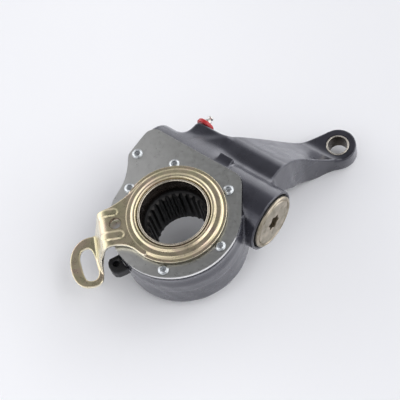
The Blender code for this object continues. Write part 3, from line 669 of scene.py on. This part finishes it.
# =================================================================== outlines
BODY_R, BODY_BOTTOM, SEAT = 45.2, -47.0, -3.8
WORM_Y, WORM_Z, BARREL_R = 37.5, -23.0, 22.4
SCREWS = [(-50.2, 24.3), (-38.7, 0.2), (-22.9, 31.1), (20.7, 33.9), (39.6, -2.4), (17.2, -35.9), (-21.4, -33.0)]
cover = [(BODY_R * math.cos(math.radians(28 - 6 * i)), BODY_R * math.sin(math.radians(28 - 6 * i))) for i in range(33)]
cover += [(-44.3, -4.7), (-45.4, 1.6), (-47.6, 7.4), (-51.2, 14.1), (-55.1, 20.0), (-55.6, 22.5), (-55.6, 31.0),
          (-55.4, 39.6), (-54.1, 43.8), (-50.9, 46.7), (-47.5, 47.3), (-30.0, 47.3), (-10.0, 47.3), (10.0, 47.3),
          (16.6, 47.3), (20.5, 46.5), (23.5, 44.6), (26.4, 41.3), (29.7, 36.4), (33.3, 31.1), (36.9, 25.8)]
COVER = spline_loop(cover, 4)[::-1]
cover_field, _ = path_field(COVER, 0.3, 9.0)

LEVER = {
    "xl": [(46, -36), (52, -34), (58, -30.5), (66, -21.5), (73.5, -12), (82, -6.4), (94, 1.0), (106.6, 8.8), (118.5, 16.6),
           (127.9, 22.8), (136.1, 27.9)],
    "xr": [(46, 37), (60, 35.6), (75, 35.8), (79, 36), (84, 34.9), (94, 35.2), (104, 38.8), (112, 42.3), (118, 46.6),
           (124, 51.5), (129.7, 53.2), (136.1, 51.4)],
    "zt": [(46, -14.0), (58, -14.2), (66, -14.6), (72, -15.4), (76, -17.3), (80, -21.4), (90, -34.2), (100, -47.5), (108, -58.2), (112, -63.0),
           (115, -66.2), (118, -68.6), (122, -70.0), (136.1, -70.1)],
    "zb": [(46, -41), (64, -43), (69, -46.4), (77, -55.8), (88, -68.8), (96, -76.8), (104, -81.6), (112, -83.4), (136.1, -83.4)],
    "rl": [(46, 4.6), (74, 3.6), (90, 2.2), (118, 1.8), (136.1, 1.2)],
    "rr": [(46, 1.3), (90, 1.3), (118, 1.5), (136.1, 1.2)],
}
LEVER = {key: smooth_table(table, 1.4) for key, table in LEVER.items()}
BOSS = spline_loop([(-37.4, 44), (-22, 44), (-8.0, 44), (-8.0, 58), (-8.0, 69.6), (-9.2, 72.4), (-12.0, 73.4), (-23, 73.4),
                    (-33.4, 73.4), (-36.6, 71.4), (-37.4, 68.0), (-37.4, 56)], 3)[::-1]
boss_field, _ = path_field(BOSS, 0.3, 9.0)


def lever_distance(x, y, z):
    def read(key):
        tx, ty, slope = LEVER[key]
        return np.interp(y, tx, ty), np.interp(y, tx, slope)
    xl, sl = read("xl")
    xr, sr = read("xr")
    zt, st = read("zt")
    zb, sb = read("zb")
    level = np.maximum((z - zt) / np.sqrt(1 + st * st), (zb - z) / np.sqrt(1 + sb * sb))
    d = np.maximum(corner((xl - x) / np.sqrt(1 + sl * sl), level, read("rl")[0]),
                   corner((x - xr) / np.sqrt(1 + sr * sr), level, read("rr")[0]))
    return np.maximum(d, np.maximum(46.0 - y, y - 136.1))


def block_distance(x, y, z, bx, by, bz, r):
    qx = np.abs(x - 0.5 * (bx[0] + bx[1])) - 0.5 * (bx[1] - bx[0]) + r
    qy = np.abs(y - 0.5 * (by[0] + by[1])) - 0.5 * (by[1] - by[0]) + r
    qz = np.abs(z - 0.5 * (bz[0] + bz[1])) - 0.5 * (bz[1] - bz[0]) + r
    out = np.sqrt(np.maximum(qx, 0) ** 2 + np.maximum(qy, 0) ** 2 + np.maximum(qz, 0) ** 2)
    return out + np.minimum(np.maximum(qx, np.maximum(qy, qz)), 0) - r


def housing_distance(x, y, z):
    rho = np.hypot(x, y)
    rw = np.hypot(y - WORM_Y, z - WORM_Z)
    body = corner(rho - BODY_R + 0.25, BODY_BOTTOM - z, 4.6)
    edge = cover_field(x, y)
    deck = np.maximum(edge + 0.45 + 0.22 * np.maximum(-6.0 - z, 0.0), -20.0 - z)
    base = smin(body, deck, 1.4 + 4.6 * step_up((-7.0 - z) / 10.0))
    base = corner(base, z - SEAT, 0.7)
    barrel = corner(corner(rw - BARREL_R, -56.0 - x, 3.8), x - 49.8, 0.25)
    barrel = np.maximum(barrel, (x - 49.8 + rw - BARREL_R + 0.8) * 0.7071)
    boss = corner(boss_field(x, y), np.abs(z + 24.3) - 8.7, 2.2)
    pad = block_distance(x, y, z, (-2.8, 8.2), (40.0, 56.8), (-24.0, -4.6), 0.9)
    eye_r = np.hypot(x - 40.0, y - 129.7)
    eye = corner(eye_r - 13.6, np.abs(z + 76.75) - 6.65, 1.1)
    lever = smin(lever_distance(x, y, z), eye, 0.05 + 1.55 * step_up((124.0 - y) / 6.0))
    lever = smin(lever, boss, 4.5)
    cast = smin(base, smin(barrel, lever, 5.0 + 5.0 * step_up((12.0 - x) / 24.0)), 2.2)
    cast = smin(cast, pad, 1.6)
    cast = cast + unevenness(x, y, z, 0.07)
    # machined faces and bores
    seat = np.maximum(edge - 0.45, SEAT - z)
    cast = np.maximum(cast, -seat)
    cuts = np.maximum(rho - 30.2, -39.6 - z)
    cuts = np.minimum(cuts, np.maximum(rho - 27.5, z + 30.0))
    cuts = np.minimum(cuts, np.maximum(rho - 28.0 + (z + 47.0) * 1.0, z + 30.0))
    cuts = np.minimum(cuts, np.maximum(rho - 35.5, -8.1 - z))
    cuts = np.minimum(cuts, np.maximum(rw - 14.0, np.maximum(-43.6 - x, x - 28.0)))
    cuts = np.minimum(cuts, np.maximum(rw - 17.8, np.maximum(25.0 - x, x - 44.0)))
    mouth = np.minimum(rw - 19.75, (rw - 20.9 + (49.8 - x) * 0.885) * 0.75)
    cuts = np.minimum(cuts, np.maximum(mouth, 38.8 - x))
    cuts = np.minimum(cuts, np.maximum(rw - 10.5, x + 40.0))
    cuts = np.minimum(cuts, block_distance(x, y, z, (-41.45, -34.1), (-6.5, 52.2), (-14.8, -8.0), 0.01))
    cuts = np.minimum(cuts, block_distance(x, y, z, (-41.4, -30.7), (-3.8, 13.3), (-12.1, -7.8), 0.01))
    cuts = np.minimum(cuts, block_distance(x, y, z, (-35.35, -28.0), (-2.5, 12.2), (-8.6, -1.0), 0.01))
    cuts = np.minimum(cuts, np.maximum(np.hypot(x + 36.8, z + 11.4) - 2.9, np.maximum(-16.0 - y, y + 5.0)))
    cuts = np.minimum(cuts, eye_r - 8.8)
    cuts = np.minimum(cuts, np.maximum(np.hypot(x + 32.8, z + 22.0) - 3.3, 66.0 - y))
    for sx, sy in SCREWS:
        cuts = np.minimum(cuts, np.maximum(np.hypot(x - sx, y - sy) - 2.1, -7.2 - z))
    return np.maximum(cast, -cuts)


# ==================================================================== housing
housing = contour("housing_cast", housing_distance, (-57, -46, -84.5), (54, 144, -0.2), 0.85)
piece("housing_cast", housing, CASTING, HOUSING_BODY, "housing", None)

# ================================================================ cover plate
plate = flat_piece("cover_sheet", [COVER, circle(0, 0, 28.6, 144)] + [circle(sx, sy, 2.1, 20) for sx, sy in SCREWS], -2.4, 0.0, 0.75, 4)
flat_shading(piece("cover_sheet", plate, ZINC, HOUSING_BODY, "cover_plate", 50.0))
inner = COVER * 1.0
step = np.roll(inner, -1, axis=0) - np.roll(inner, 1, axis=0)
step /= np.linalg.norm(step, axis=1, keepdims=True)
inner = inner - np.stack([step[:, 1], -step[:, 0]], axis=1) * 0.7
gasket = flat_piece("gasket_sheet", [inner, circle(0, 0, 35.5, 96)] + [circle(sx, sy, 2.1, 12) for sx, sy in SCREWS], -3.5, -2.7, 0.12, 1)
flat_shading(piece("gasket_sheet", gasket, FIBRE, HOUSING_BODY, "cover_gasket", 50.0))

# =============================================================== cover screws
SEG = 72
angle = np.arange(SEG) * 2 * math.pi / SEG


def lobes(mid, amp, turn=0.0):
    wave = np.cos(6 * (angle + turn))
    return mid + amp * (wave - 0.18 * (1 - wave * wave))


def ring_at(r, h):
    r = np.broadcast_to(np.asarray(r, float), (SEG,))
    h = np.broadcast_to(np.asarray(h, float), (SEG,))
    return np.stack([r * np.cos(angle), r * np.sin(angle), h], axis=1)


def screw_mesh(name):
    dome = [(0.0, 1.8), (1.6, 1.78), (2.3, 1.62), (2.8, 1.3), (3.05, 0.98), (3.2, 0.86), (3.5, 0.82), (3.66, 0.72), (3.7, 0.55)]
    dr, dh = [p[0] for p in dome], [p[1] for p in dome]
    hole = lobes(1.62, 0.28)
    rings = [ring_at(0.35, 0.05), ring_at(hole * 0.7, 0.1), ring_at(hole * 0.94, 0.16), ring_at(hole, 0.25)]
    rings += [ring_at(hole, 1.45), ring_at(hole * 1.02, 1.62), ring_at(hole * 1.07, np.interp(hole * 1.07, dr, dh))]
    for k, radius in enumerate((2.0, 2.25, 2.5, 2.75, 2.95)):
        f = (k + 1) / 5
        r = (1 - f) * (hole * 1.07) + f * radius if f < 1 else np.full(SEG, radius)
        rings.append(ring_at(r, np.interp(r, dr, dh)))
    for r, h in ((3.08, 0.95), (3.22, 0.85), (3.5, 0.81), (3.64, 0.72), (3.7, 0.58), (3.7, 0.36), (3.62, 0.3), (1.8, 0.3),
                 (1.8, -6.2), (1.4, -6.8)):
        rings.append(ring_at(r, h))
    return ring_mesh(name, rings)


for i, (sx, sy) in enumerate(SCREWS):
    mesh = screw_mesh("screw_%d" % (i + 1))
    mesh.transform(Matrix.Translation((sx * MM, sy * MM, 0)) @ Matrix.Rotation(0.37 * (i * i + 1), 4, "Z"))
    piece("screw_%d" % (i + 1), mesh, SCREW, HOUSING_BODY, "cover_screw_%d" % (i + 1), 40.0)

# ================================================================ control arm
ARM = math.radians(-139.0)
CA, SA = math.cos(ARM), math.sin(ARM)
arm_plan = [(18.0, -26.0), (28.4, -19.9), (34.2, -16.0), (40.6, -12.6), (44.9, -10.9), (49.1, -10.0), (52.5, -9.4),
            (55.5, -7.0), (58.0, -4.6), (61.0, -3.3), (64.5, -3.0), (68.6, -1.9), (72.6, 0.9), (75.8, 5.2), (77.5, 10.4),
            (77.9, 15.7), (77.2, 21.1), (75.6, 26.4), (72.9, 30.7), (69.0, 33.7), (64.7, 34.6), (60.4, 34.3), (57.2, 33.0),
            (55.3, 30.4), (54.7, 26.5), (54.4, 22.5), (53.2, 19.8), (51.0, 18.6), (48.0, 18.3), (44.4, 17.5), (40.9, 17.3),
            (37.6, 17.6), (33.4, 18.8), (29.0, 21.4), (20.0, 27.0), (17.0, 0.0)]
plan_field, _ = path_field(spline_loop(arm_plan, 4), 0.2, 6.0)
T, TOP, R_OUT, LOOP_TOP = 2.6, 4.7, 9.0, -18.5
LEAN = math.radians(20.0)
R_MID, R_MID2 = R_OUT - T / 2, 1.8 + T / 2
bend1 = (44.6, TOP - R_OUT)
first = (bend1[0] + R_MID * math.cos(LEAN), bend1[1] + R_MID * math.sin(LEAN))
bend2z = LOOP_TOP - T / 2 + R_MID2
second_z = bend2z - R_MID2 * math.sin(LEAN)
bend2d = first[0] + (first[1] - second_z) * math.tan(LEAN) + R_MID2 * math.cos(LEAN)
mid = [(4.0, TOP - T / 2)]
mid += [(bend1[0] + R_MID * math.cos(a), bend1[1] + R_MID * math.sin(a)) for a in np.linspace(math.pi / 2, LEAN, 18)]
mid += [(bend2d + R_MID2 * math.cos(a), bend2z + R_MID2 * math.sin(a)) for a in np.linspace(math.pi + LEAN, 1.5 * math.pi, 18)]
mid += [(96.0, LOOP_TOP - T / 2)]
normal_field, length_field = path_field(mid, 0.2, 8.0, closed=False)
BEND_S = bend1[0] - 4.0
slot_plan = [(70.6, 9.9), (69.2, 6.9), (66.3, 5.5), (63.2, 6.5), (61.2, 10.5), (60.0, 14.9), (58.9, 20.3), (58.3, 24.2), (58.9, 27.4),
             (61.0, 29.3), (64.3, 29.5), (67.0, 27.9), (68.8, 23.5), (70.1, 17.5), (70.9, 13.1)]
slot_field, _ = path_field(spline_loop(slot_plan, 4), 0.2, 6.0)


def rib(s, t, s0, s1, tc, wide, high):
    """Raised bead of a pressing, along the sheet from s0 to s1."""
    ends = np.maximum(np.maximum(s0 + wide - s, s - s1 + wide), 0.0)
    d = np.hypot(ends, t - tc)
    return high * step_up((wide + 0.7 - d) / 2.3)


def arm_distance(x, y, z):
    d = CA * x + SA * y
    t = -SA * x + CA * y
    rho = np.hypot(x, y)
    bent = d + 0.075 * t + 0.013 * np.maximum(t - 13.0, 0.0) ** 2
    n = normal_field(bent, z)
    s = length_field(bent, z)
    raised = rib(s, t, BEND_S - 7.8, BEND_S + 8.2, -7.0, 2.9, 0.75) + rib(s, t, BEND_S - 9.9, BEND_S + 7.6, 10.2, 3.2, 0.75)
    sheet = np.abs(n - raised) - T / 2
    plan = plan_field(d, t)
    sheet = corner(sheet, plan, 0.9)
    hole = np.hypot(d - 39.8, t - 1.4) - 4.0
    sheet = np.where(d < 50, np.maximum(sheet, -hole), sheet)
    sheet = np.where(d > 50, corner(sheet, -slot_field(d, t), 1.2), sheet)
    flange = corner(rho - 35.8, np.abs(z - 2.65) - 0.55, 0.35)
    return np.maximum(smin(sheet, flange, 0.7), 31.5 - rho)


arm = contour("arm_pressing", arm_distance, (-66, -76, -22), (36, 36, 7), 0.5)
piece("arm_pressing", arm, GOLD_ARM, ARM_BODY, "control_arm", None)
ring = fillet([(25.05, -4.1), (25.05, 4.2), (25.25, 4.5), (25.9, 5.55), (26.4, 6.0), (27.2, 6.1), (27.9, 5.9), (28.6, 5.4),
               (29.2, 4.98), (31.2, 4.95), (31.9, 4.88), (32.5, 4.66), (33.1, 4.22), (33.7, 3.5), (34.15, 2.6), (34.35, 1.9),
               (34.2, 1.6), (26.6, 1.6), (26.6, -4.1)], 0.4, 4)
piece("arm_ring", lathe("arm_ring", ring, 216), GOLD, ARM_BODY, "control_arm", 60.0)
collar = fillet([(23.35, 5.25), (23.9, 5.4), (24.45, 5.3), (24.8, 4.9), (24.8, -7.9), (23.0, -7.9), (23.0, 4.9)], 0.35, 4)
piece("bore_collar", lathe("bore_collar", collar, 168), COLLAR, ARM_BODY, "control_collar")

# ================================================================= worm wheel
TEETH, MODULE, BACKLASH = 24, 2.25, 0.46
PITCH_R = TEETH * MODULE / 2
TWIST = math.pi * MODULE / (2 * math.pi * 10.5) / PITCH_R
ZM = -23.0


def gear_outline():
    half = 0.25 * math.pi * MODULE - BACKLASH
    tan = math.tan(math.radians(20))
    add, ded = MODULE, 1.25 * MODULE
    pts = []
    for k in range(TEETH):
        a = math.pi / 2 + 2 * math.pi * k / TEETH
        for r, w in ((PITCH_R - ded, -(half + ded * tan)), (PITCH_R, -half), (PITCH_R + add, -(half - add * tan * 1.18)),
                     (PITCH_R + add, half - add * tan * 1.18), (PITCH_R, half), (PITCH_R - ded, half + ded * tan)):
            b = a + w / r if r >= PITCH_R else a + w / (PITCH_R - 0.35 * ded)
            pts.append((r * math.cos(b), r * math.sin(b)))
    return pts


def spline_outline():
    pts = []
    for k in range(26):
        p = 2 * math.pi / 26
        for r, o in ((19.5, 0.02), (19.5, 0.32), (20.3, 0.40), (21.1, 0.50), (21.1, 0.84), (20.3, 0.94)):
            pts.append((r * math.cos((k + o) * p), r * math.sin((k + o) * p)))
    return pts


gear_field, _ = path_field(gear_outline(), 0.15, 3.0)
bore_field, _ = path_field(spline_outline(), 0.1, 2.0)


def wheel_distance(x, y, z):
    rho = np.hypot(x, y)
    turn = -TWIST * (z - ZM)
    c, s = np.cos(turn), np.sin(turn)
    gear = corner(gear_field(c * x - s * y, s * x + c * y), np.abs(z - ZM) - 10.0, 0.4)
    hub = corner(rho - 24.0, np.abs(z + 27.7) - 19.5, 0.4)
    body = np.minimum(gear, hub)
    bore = bore_field(x, y)
    body = smax(body, -bore, 0.25)
    front = (20.2 - rho + (z + 10.0) * 1.0) * 0.7071
    rear = (20.2 - rho - (z + 45.9) * 1.0) * 0.7071
    body = np.maximum(body, -np.maximum(rho - 21.3, z + 43.8))
    return np.maximum(body, np.maximum(front, rear))


wheel = contour("splined_wheel", wheel_distance, (-30, -30, -48), (30, 30, -7), 0.5)
piece("splined_wheel", wheel, HARD, WHEEL_BODY, "worm_wheel", None)

# ============================================================== bearing screw
SEG = 120
angle = np.arange(SEG) * 2 * math.pi / SEG


def bearing_mesh(name):
    hole = lobes(5.3, 0.85)
    rings = [ring_at(0.8, 45.2), ring_at(hole * 0.72, 45.3), ring_at(hole * 0.93, 45.4), ring_at(hole, 45.7)]
    rings += [ring_at(hole, 48.8), ring_at(hole, 51.5), ring_at(hole * 1.02, 51.85), ring_at(hole * 1.07, 52.0)]
    for k, radius in enumerate((6.7, 7.2, 7.9)):
        f = (k + 1) / 3
        rings.append(ring_at((1 - f) * hole * 1.07 + f * radius, 52.0))
    side = fillet([(9.2, 52.0), (16.3, 52.0), (16.7, 51.1), (17.2, 51.1), (17.6, 52.0), (18.7, 52.0), (19.4, 51.3), (19.4, 39.4), (16.0, 39.4),
                   (16.0, 43.9), (2.0, 43.9)], 0.3, 3, closed=False)
    rings += [ring_at(r, h) for r, h in side]
    return ring_mesh(name, rings, "X", (0, WORM_Y, WORM_Z))


flat_shading(piece("barrel_screw", bearing_mesh("barrel_screw"), PALE, HOUSING_BODY, "bearing_screw", 32.0))

# ============================================================== turned pieces
AX = (0, WORM_Y, WORM_Z)
bush = fillet([(7.4, -69.8), (8.1, -69.8), (8.5, -70.3), (8.5, -83.2), (8.1, -83.7), (7.4, -83.7), (7.0, -83.2), (7.0, -70.2)], 0.25, 3)
piece("lever_bush", lathe("lever_bush", bush, 96, "Z", (40.0, 129.7, 0)), BUSH, HOUSING_BODY, "eye_bush")
seal = fillet([(26.95, 0.3), (27.3, 0.6), (28.3, 0.5), (28.3, -2.2), (26.95, -2.2)], 0.2, 3)
piece("arm_lip_seal", lathe("arm_lip_seal", seal, 120), RUBBER, HOUSING_BODY, "arm_seal")
lip = fillet([(27.2, -46.2), (26.8, -46.6), (25.9, -46.6), (25.5, -45.9), (24.9, -46.1), (24.4, -45.6), (24.45, -44.6), (24.9, -43.8),
              (24.6, -42.6), (24.6, -41.0), (27.2, -41.0)], 0.25, 3)
piece("rear_lip_seal", lathe("rear_lip_seal", lip, 120), RUBBER, HOUSING_BODY, "wheel_rear_seal")
lip = fillet([(10.2, -55.4), (10.0, -55.6), (8.9, -55.6), (8.4, -55.0), (7.3, -55.4), (6.6, -55.2), (6.65, -54.2), (7.2, -53.4),
              (6.9, -52.0), (10.2, -52.0)], 0.2, 3)
piece("worm_lip_seal", lathe("worm_lip_seal", lip, 72, "X", AX), RUBBER, HOUSING_BODY, "worm_end_seal")
y0 = 73.4
nipple = fillet([(0.0, y0 + 9.6), (1.2, y0 + 9.6), (2.1, y0 + 8.7), (2.2, y0 + 8.0), (1.55, y0 + 7.2), (1.55, y0 + 6.6), (2.5, y0 + 5.9),
                 (2.7, y0 + 4.2), (2.7, y0 - 5.6), (2.3, y0 - 6.0), (0.0, y0 - 6.0)], 0.35, 4, closed=False)
piece("grease_fitting", lathe("grease_fitting", nipple, 48, "Y", (-32.8, 0, -22.0)), STEEL, HOUSING_BODY, "grease_nipple")
cap = fillet([(5.7, y0 + 3.5), (6.6, y0 + 2.7), (6.6, y0 + 0.9), (6.1, y0 + 0.3), (3.1, y0 + 0.3), (3.1, y0 + 3.2), (3.4, y0 + 3.5)], 0.5, 4)
piece("fitting_ring", lathe("fitting_ring", cap, 96, "Y", (-32.8, 0, -22.0)), RED, HOUSING_BODY, "nipple_ring")

# ================================================================= side block
wall = 45.55
plan = [(wall * math.cos(math.radians(a)), wall * math.sin(math.radians(a))) for a in np.linspace(-102.8, -119.3, 9)]
outer = [(r * math.cos(math.radians(a)), r * math.sin(math.radians(a))) for r, a in
         ((48.6, -119.3), (52.6, -119.3), (54.4, -117.2), (55.3, -114.2), (55.6, -110.8), (55.0, -107.6), (53.0, -105.4), (48.6, -103.6))]
block_field, _ = path_field(np.array(plan + outer)[::-1], 0.15, 3.0)


def block_shape(x, y, z):
    d = corner(block_field(x, y), np.abs(z + 18.25) - 3.75, 0.8)
    hole = np.maximum(np.hypot(x + 19.6, y + 45.8) - 2.3, -19.0 - z)
    lead = (np.hypot(x + 19.6, y + 45.8) - 2.3 - (z + 15.0)) * 0.7071
    return np.maximum(d, -np.minimum(hole, lead))


block = contour("wall_block", block_shape, (-29, -56.5, -22.5), (-9, -39, -14), 0.4)
piece("wall_block", block, PLASTIC, HOUSING_BODY, "side_stop", None)

# ========================================================= carried-over nodes
KEPT = {
    "wheel_rear_bush": (BRONZE, "bronze"), "worm_end_bush": (BRONZE, "bronze"), "bearing_screw_seal": (RUBBER, "black_rubber"),
    "worm_screw": (STEEL, "machined_steel"), "clutch_hub": (STEEL, "machined_steel"), "clutch_spring": (SPRING, "spring_steel"),
    "thrust_race_inner": (STEEL, "machined_steel"), "thrust_race_outer": (STEEL, "machined_steel"),
    "spring_seat": (STEEL, "machined_steel"), "main_spring": (SPRING, "spring_steel"), "thrust_rollers": (STEEL, "machined_steel"),
    "clutch_wheel": (STEEL, "machined_steel"), "rack": (STEEL, "machined_steel"), "rack_spring": (SPRING, "spring_steel"),
    "control_disc": (STEEL, "machined_steel"),
}
for name, (mat, slot) in KEPT.items():
    node = NODES[name]
    node.data.materials.clear()
    node.data.materials.append(mat)
    if name in ("worm_screw", "rack", "clutch_wheel"):
        mod = node.modifiers.new("edge", "BEVEL")
        mod.width = 0.2 * MM
        mod.segments = 2
        mod.limit_method = "ANGLE"
        mod.angle_limit = math.radians(35)

# ====================================================================== stage
normal = Vector((0.064, 0.202, 0.977)).normalized()
floor_mesh = bpy.data.meshes.new("floor")
bm = bmesh.new()
bmesh.ops.create_circle(bm, cap_ends=True, segments=128, radius=0.42)
bm.to_mesh(floor_mesh)
bm.free()
floor = bpy.data.objects.new("floor", floor_mesh)
bpy.context.scene.collection.objects.link(floor)
centre = Vector((0.0, 0.05, -0.03))
foot = centre - normal * (normal.dot(centre) + 0.0559)
floor.matrix_world = Matrix.Translation(foot) @ normal.to_track_quat("Z", "Y").to_matrix().to_4x4()
look = Look("look_floor")
look.set(Roughness=0.75, Specular_IOR_Level=0.25)
place = look.tree.nodes.new("ShaderNodeVectorMath")
place.operation = "DOT_PRODUCT"
place.inputs[1].default_value = (0.82, 0.57, 0.0)
look.link(look.tree.nodes.new("ShaderNodeNewGeometry").outputs["Position"], place.inputs[0])
pale = look.ramp(look.noise(6.0, 2.0, 0.5), [(0.3, (0.90, 0.905, 0.93)), (0.7, (0.91, 0.915, 0.94))])
# Painted shade: the floor is tinted darker towards the right, across about 30 cm.
look.to(look.mix(look.within(place.outputs["Value"], -0.10, 0.20), pale, (0.82, 0.825, 0.85)), "Base Color")
floor_mesh.materials.append(look.mat)

world = bpy.data.worlds.new("studio")
bpy.context.scene.world = world
world.use_nodes = True
tree = world.node_tree
tree.nodes.clear()
out = tree.nodes.new("ShaderNodeOutputWorld")
back = tree.nodes.new("ShaderNodeBackground")
coord = tree.nodes.new("ShaderNodeTexCoord")
split = tree.nodes.new("ShaderNodeSeparateXYZ")
ramp = tree.nodes.new("ShaderNodeValToRGB")
tree.links.new(coord.outputs["Generated"], split.inputs["Vector"])
tree.links.new(split.outputs["Z"], ramp.inputs["Fac"])
SKY = [(0.0, (0.78, 0.785, 0.815)), (0.30, (0.78, 0.785, 0.81)), (0.50, (0.58, 0.585, 0.61)), (0.70, (0.42, 0.42, 0.435)),
       (0.83, (0.36, 0.36, 0.37)), (0.90, (0.255, 0.255, 0.265)), (1.0, (0.15, 0.15, 0.16))]
stops = ramp.color_ramp.elements
while len(stops) < len(SKY):
    stops.new(0.5)
for k, (at, value) in enumerate(SKY):
    stops[k].position = at
    stops[k].color = (*value, 1.0)
tree.links.new(ramp.outputs["Color"], back.inputs["Color"])
back.inputs["Strength"].default_value = 1.0
total = back.outputs["Background"]


def screen(direction, low, high, gain, top, foot):
    """A bright screen low down in one direction."""
    global total
    toward = tree.nodes.new("ShaderNodeVectorMath")
    toward.operation = "DOT_PRODUCT"
    tree.links.new(coord.outputs["Generated"], toward.inputs[0])
    toward.inputs[1].default_value = direction
    masks = []
    for source, start, end, full in ((toward.outputs["Value"], low, high, gain), (split.outputs["Z"], top, foot, 1.0)):
        mask = tree.nodes.new("ShaderNodeMapRange")
        mask.interpolation_type = "SMOOTHSTEP"
        mask.inputs["From Min"].default_value = start
        mask.inputs["From Max"].default_value = end
        mask.inputs["To Max"].default_value = full
        tree.links.new(source, mask.inputs["Value"])
        masks.append(mask.outputs["Result"])
    both = tree.nodes.new("ShaderNodeMath")
    both.operation = "MULTIPLY"
    tree.links.new(masks[0], both.inputs[0])
    tree.links.new(masks[1], both.inputs[1])
    glow = tree.nodes.new("ShaderNodeBackground")
    tree.links.new(both.outputs[0], glow.inputs["Strength"])
    add = tree.nodes.new("ShaderNodeAddShader")
    tree.links.new(total, add.inputs[0])
    tree.links.new(glow.outputs["Background"], add.inputs[1])
    total = add.outputs["Shader"]


screen((-0.86, -0.50, 0.0), 0.35, 0.80, 2.1, 0.78, 0.42)
screen((0.42, 0.91, 0.0), 0.50, 0.85, 2.2, 0.60, 0.30)
tree.links.new(total, out.inputs["Surface"])


def softbox(name, place, target, size, watts, colour=(1, 1, 1)):
    light = bpy.data.lights.new(name, "AREA")
    light.shape = "RECTANGLE"
    light.size, light.size_y = size
    light.energy = watts
    light.color = colour
    ob = bpy.data.objects.new(name, light)
    bpy.context.scene.collection.objects.link(ob)
    ob.location = place
    ob.rotation_euler = (Vector(target) - Vector(place)).to_track_quat("-Z", "Y").to_euler()
    return ob


softbox("key", (1.37, 0.42, 1.66), (0.0, 0.05, -0.03), (1.3, 1.3), 12.0, (1.0, 0.995, 0.985))
softbox("fill", (-0.05, -0.75, 1.05), (0.0, 0.03, -0.03), (0.8, 0.6), 2.4, (0.98, 0.985, 1.0))
softbox("back", (0.33, 0.72, 0.80), (0.0, 0.03, 0.0), (0.32, 0.32), 0.8, (1.0, 1.0, 1.0))

# ===================================================================== camera
turn = Vector((2.60733854, 0.78272741, -0.41972516))
shift = Vector((-16.957, 10.103, 774.912))
M = Matrix.Rotation(turn.length, 3, turn.normalized())
eye_point = -(M.transposed() @ shift)
cam = bpy.data.cameras.new("camera")
cam.sensor_width = 36
cam.lens = 1159.99 / 400 * 36
cam.clip_start, cam.clip_end = 0.05, 20.0
camera = bpy.data.objects.new("camera", cam)
bpy.context.scene.collection.objects.link(camera)
camera.matrix_world = Matrix.Translation(eye_point * MM) @ Matrix((M[0], -M[1], -M[2])).transposed().to_4x4()
bpy.context.scene.camera = camera
bpy.context.scene.view_settings.view_transform = "Standard"
bpy.context.scene.view_settings.look = "None"
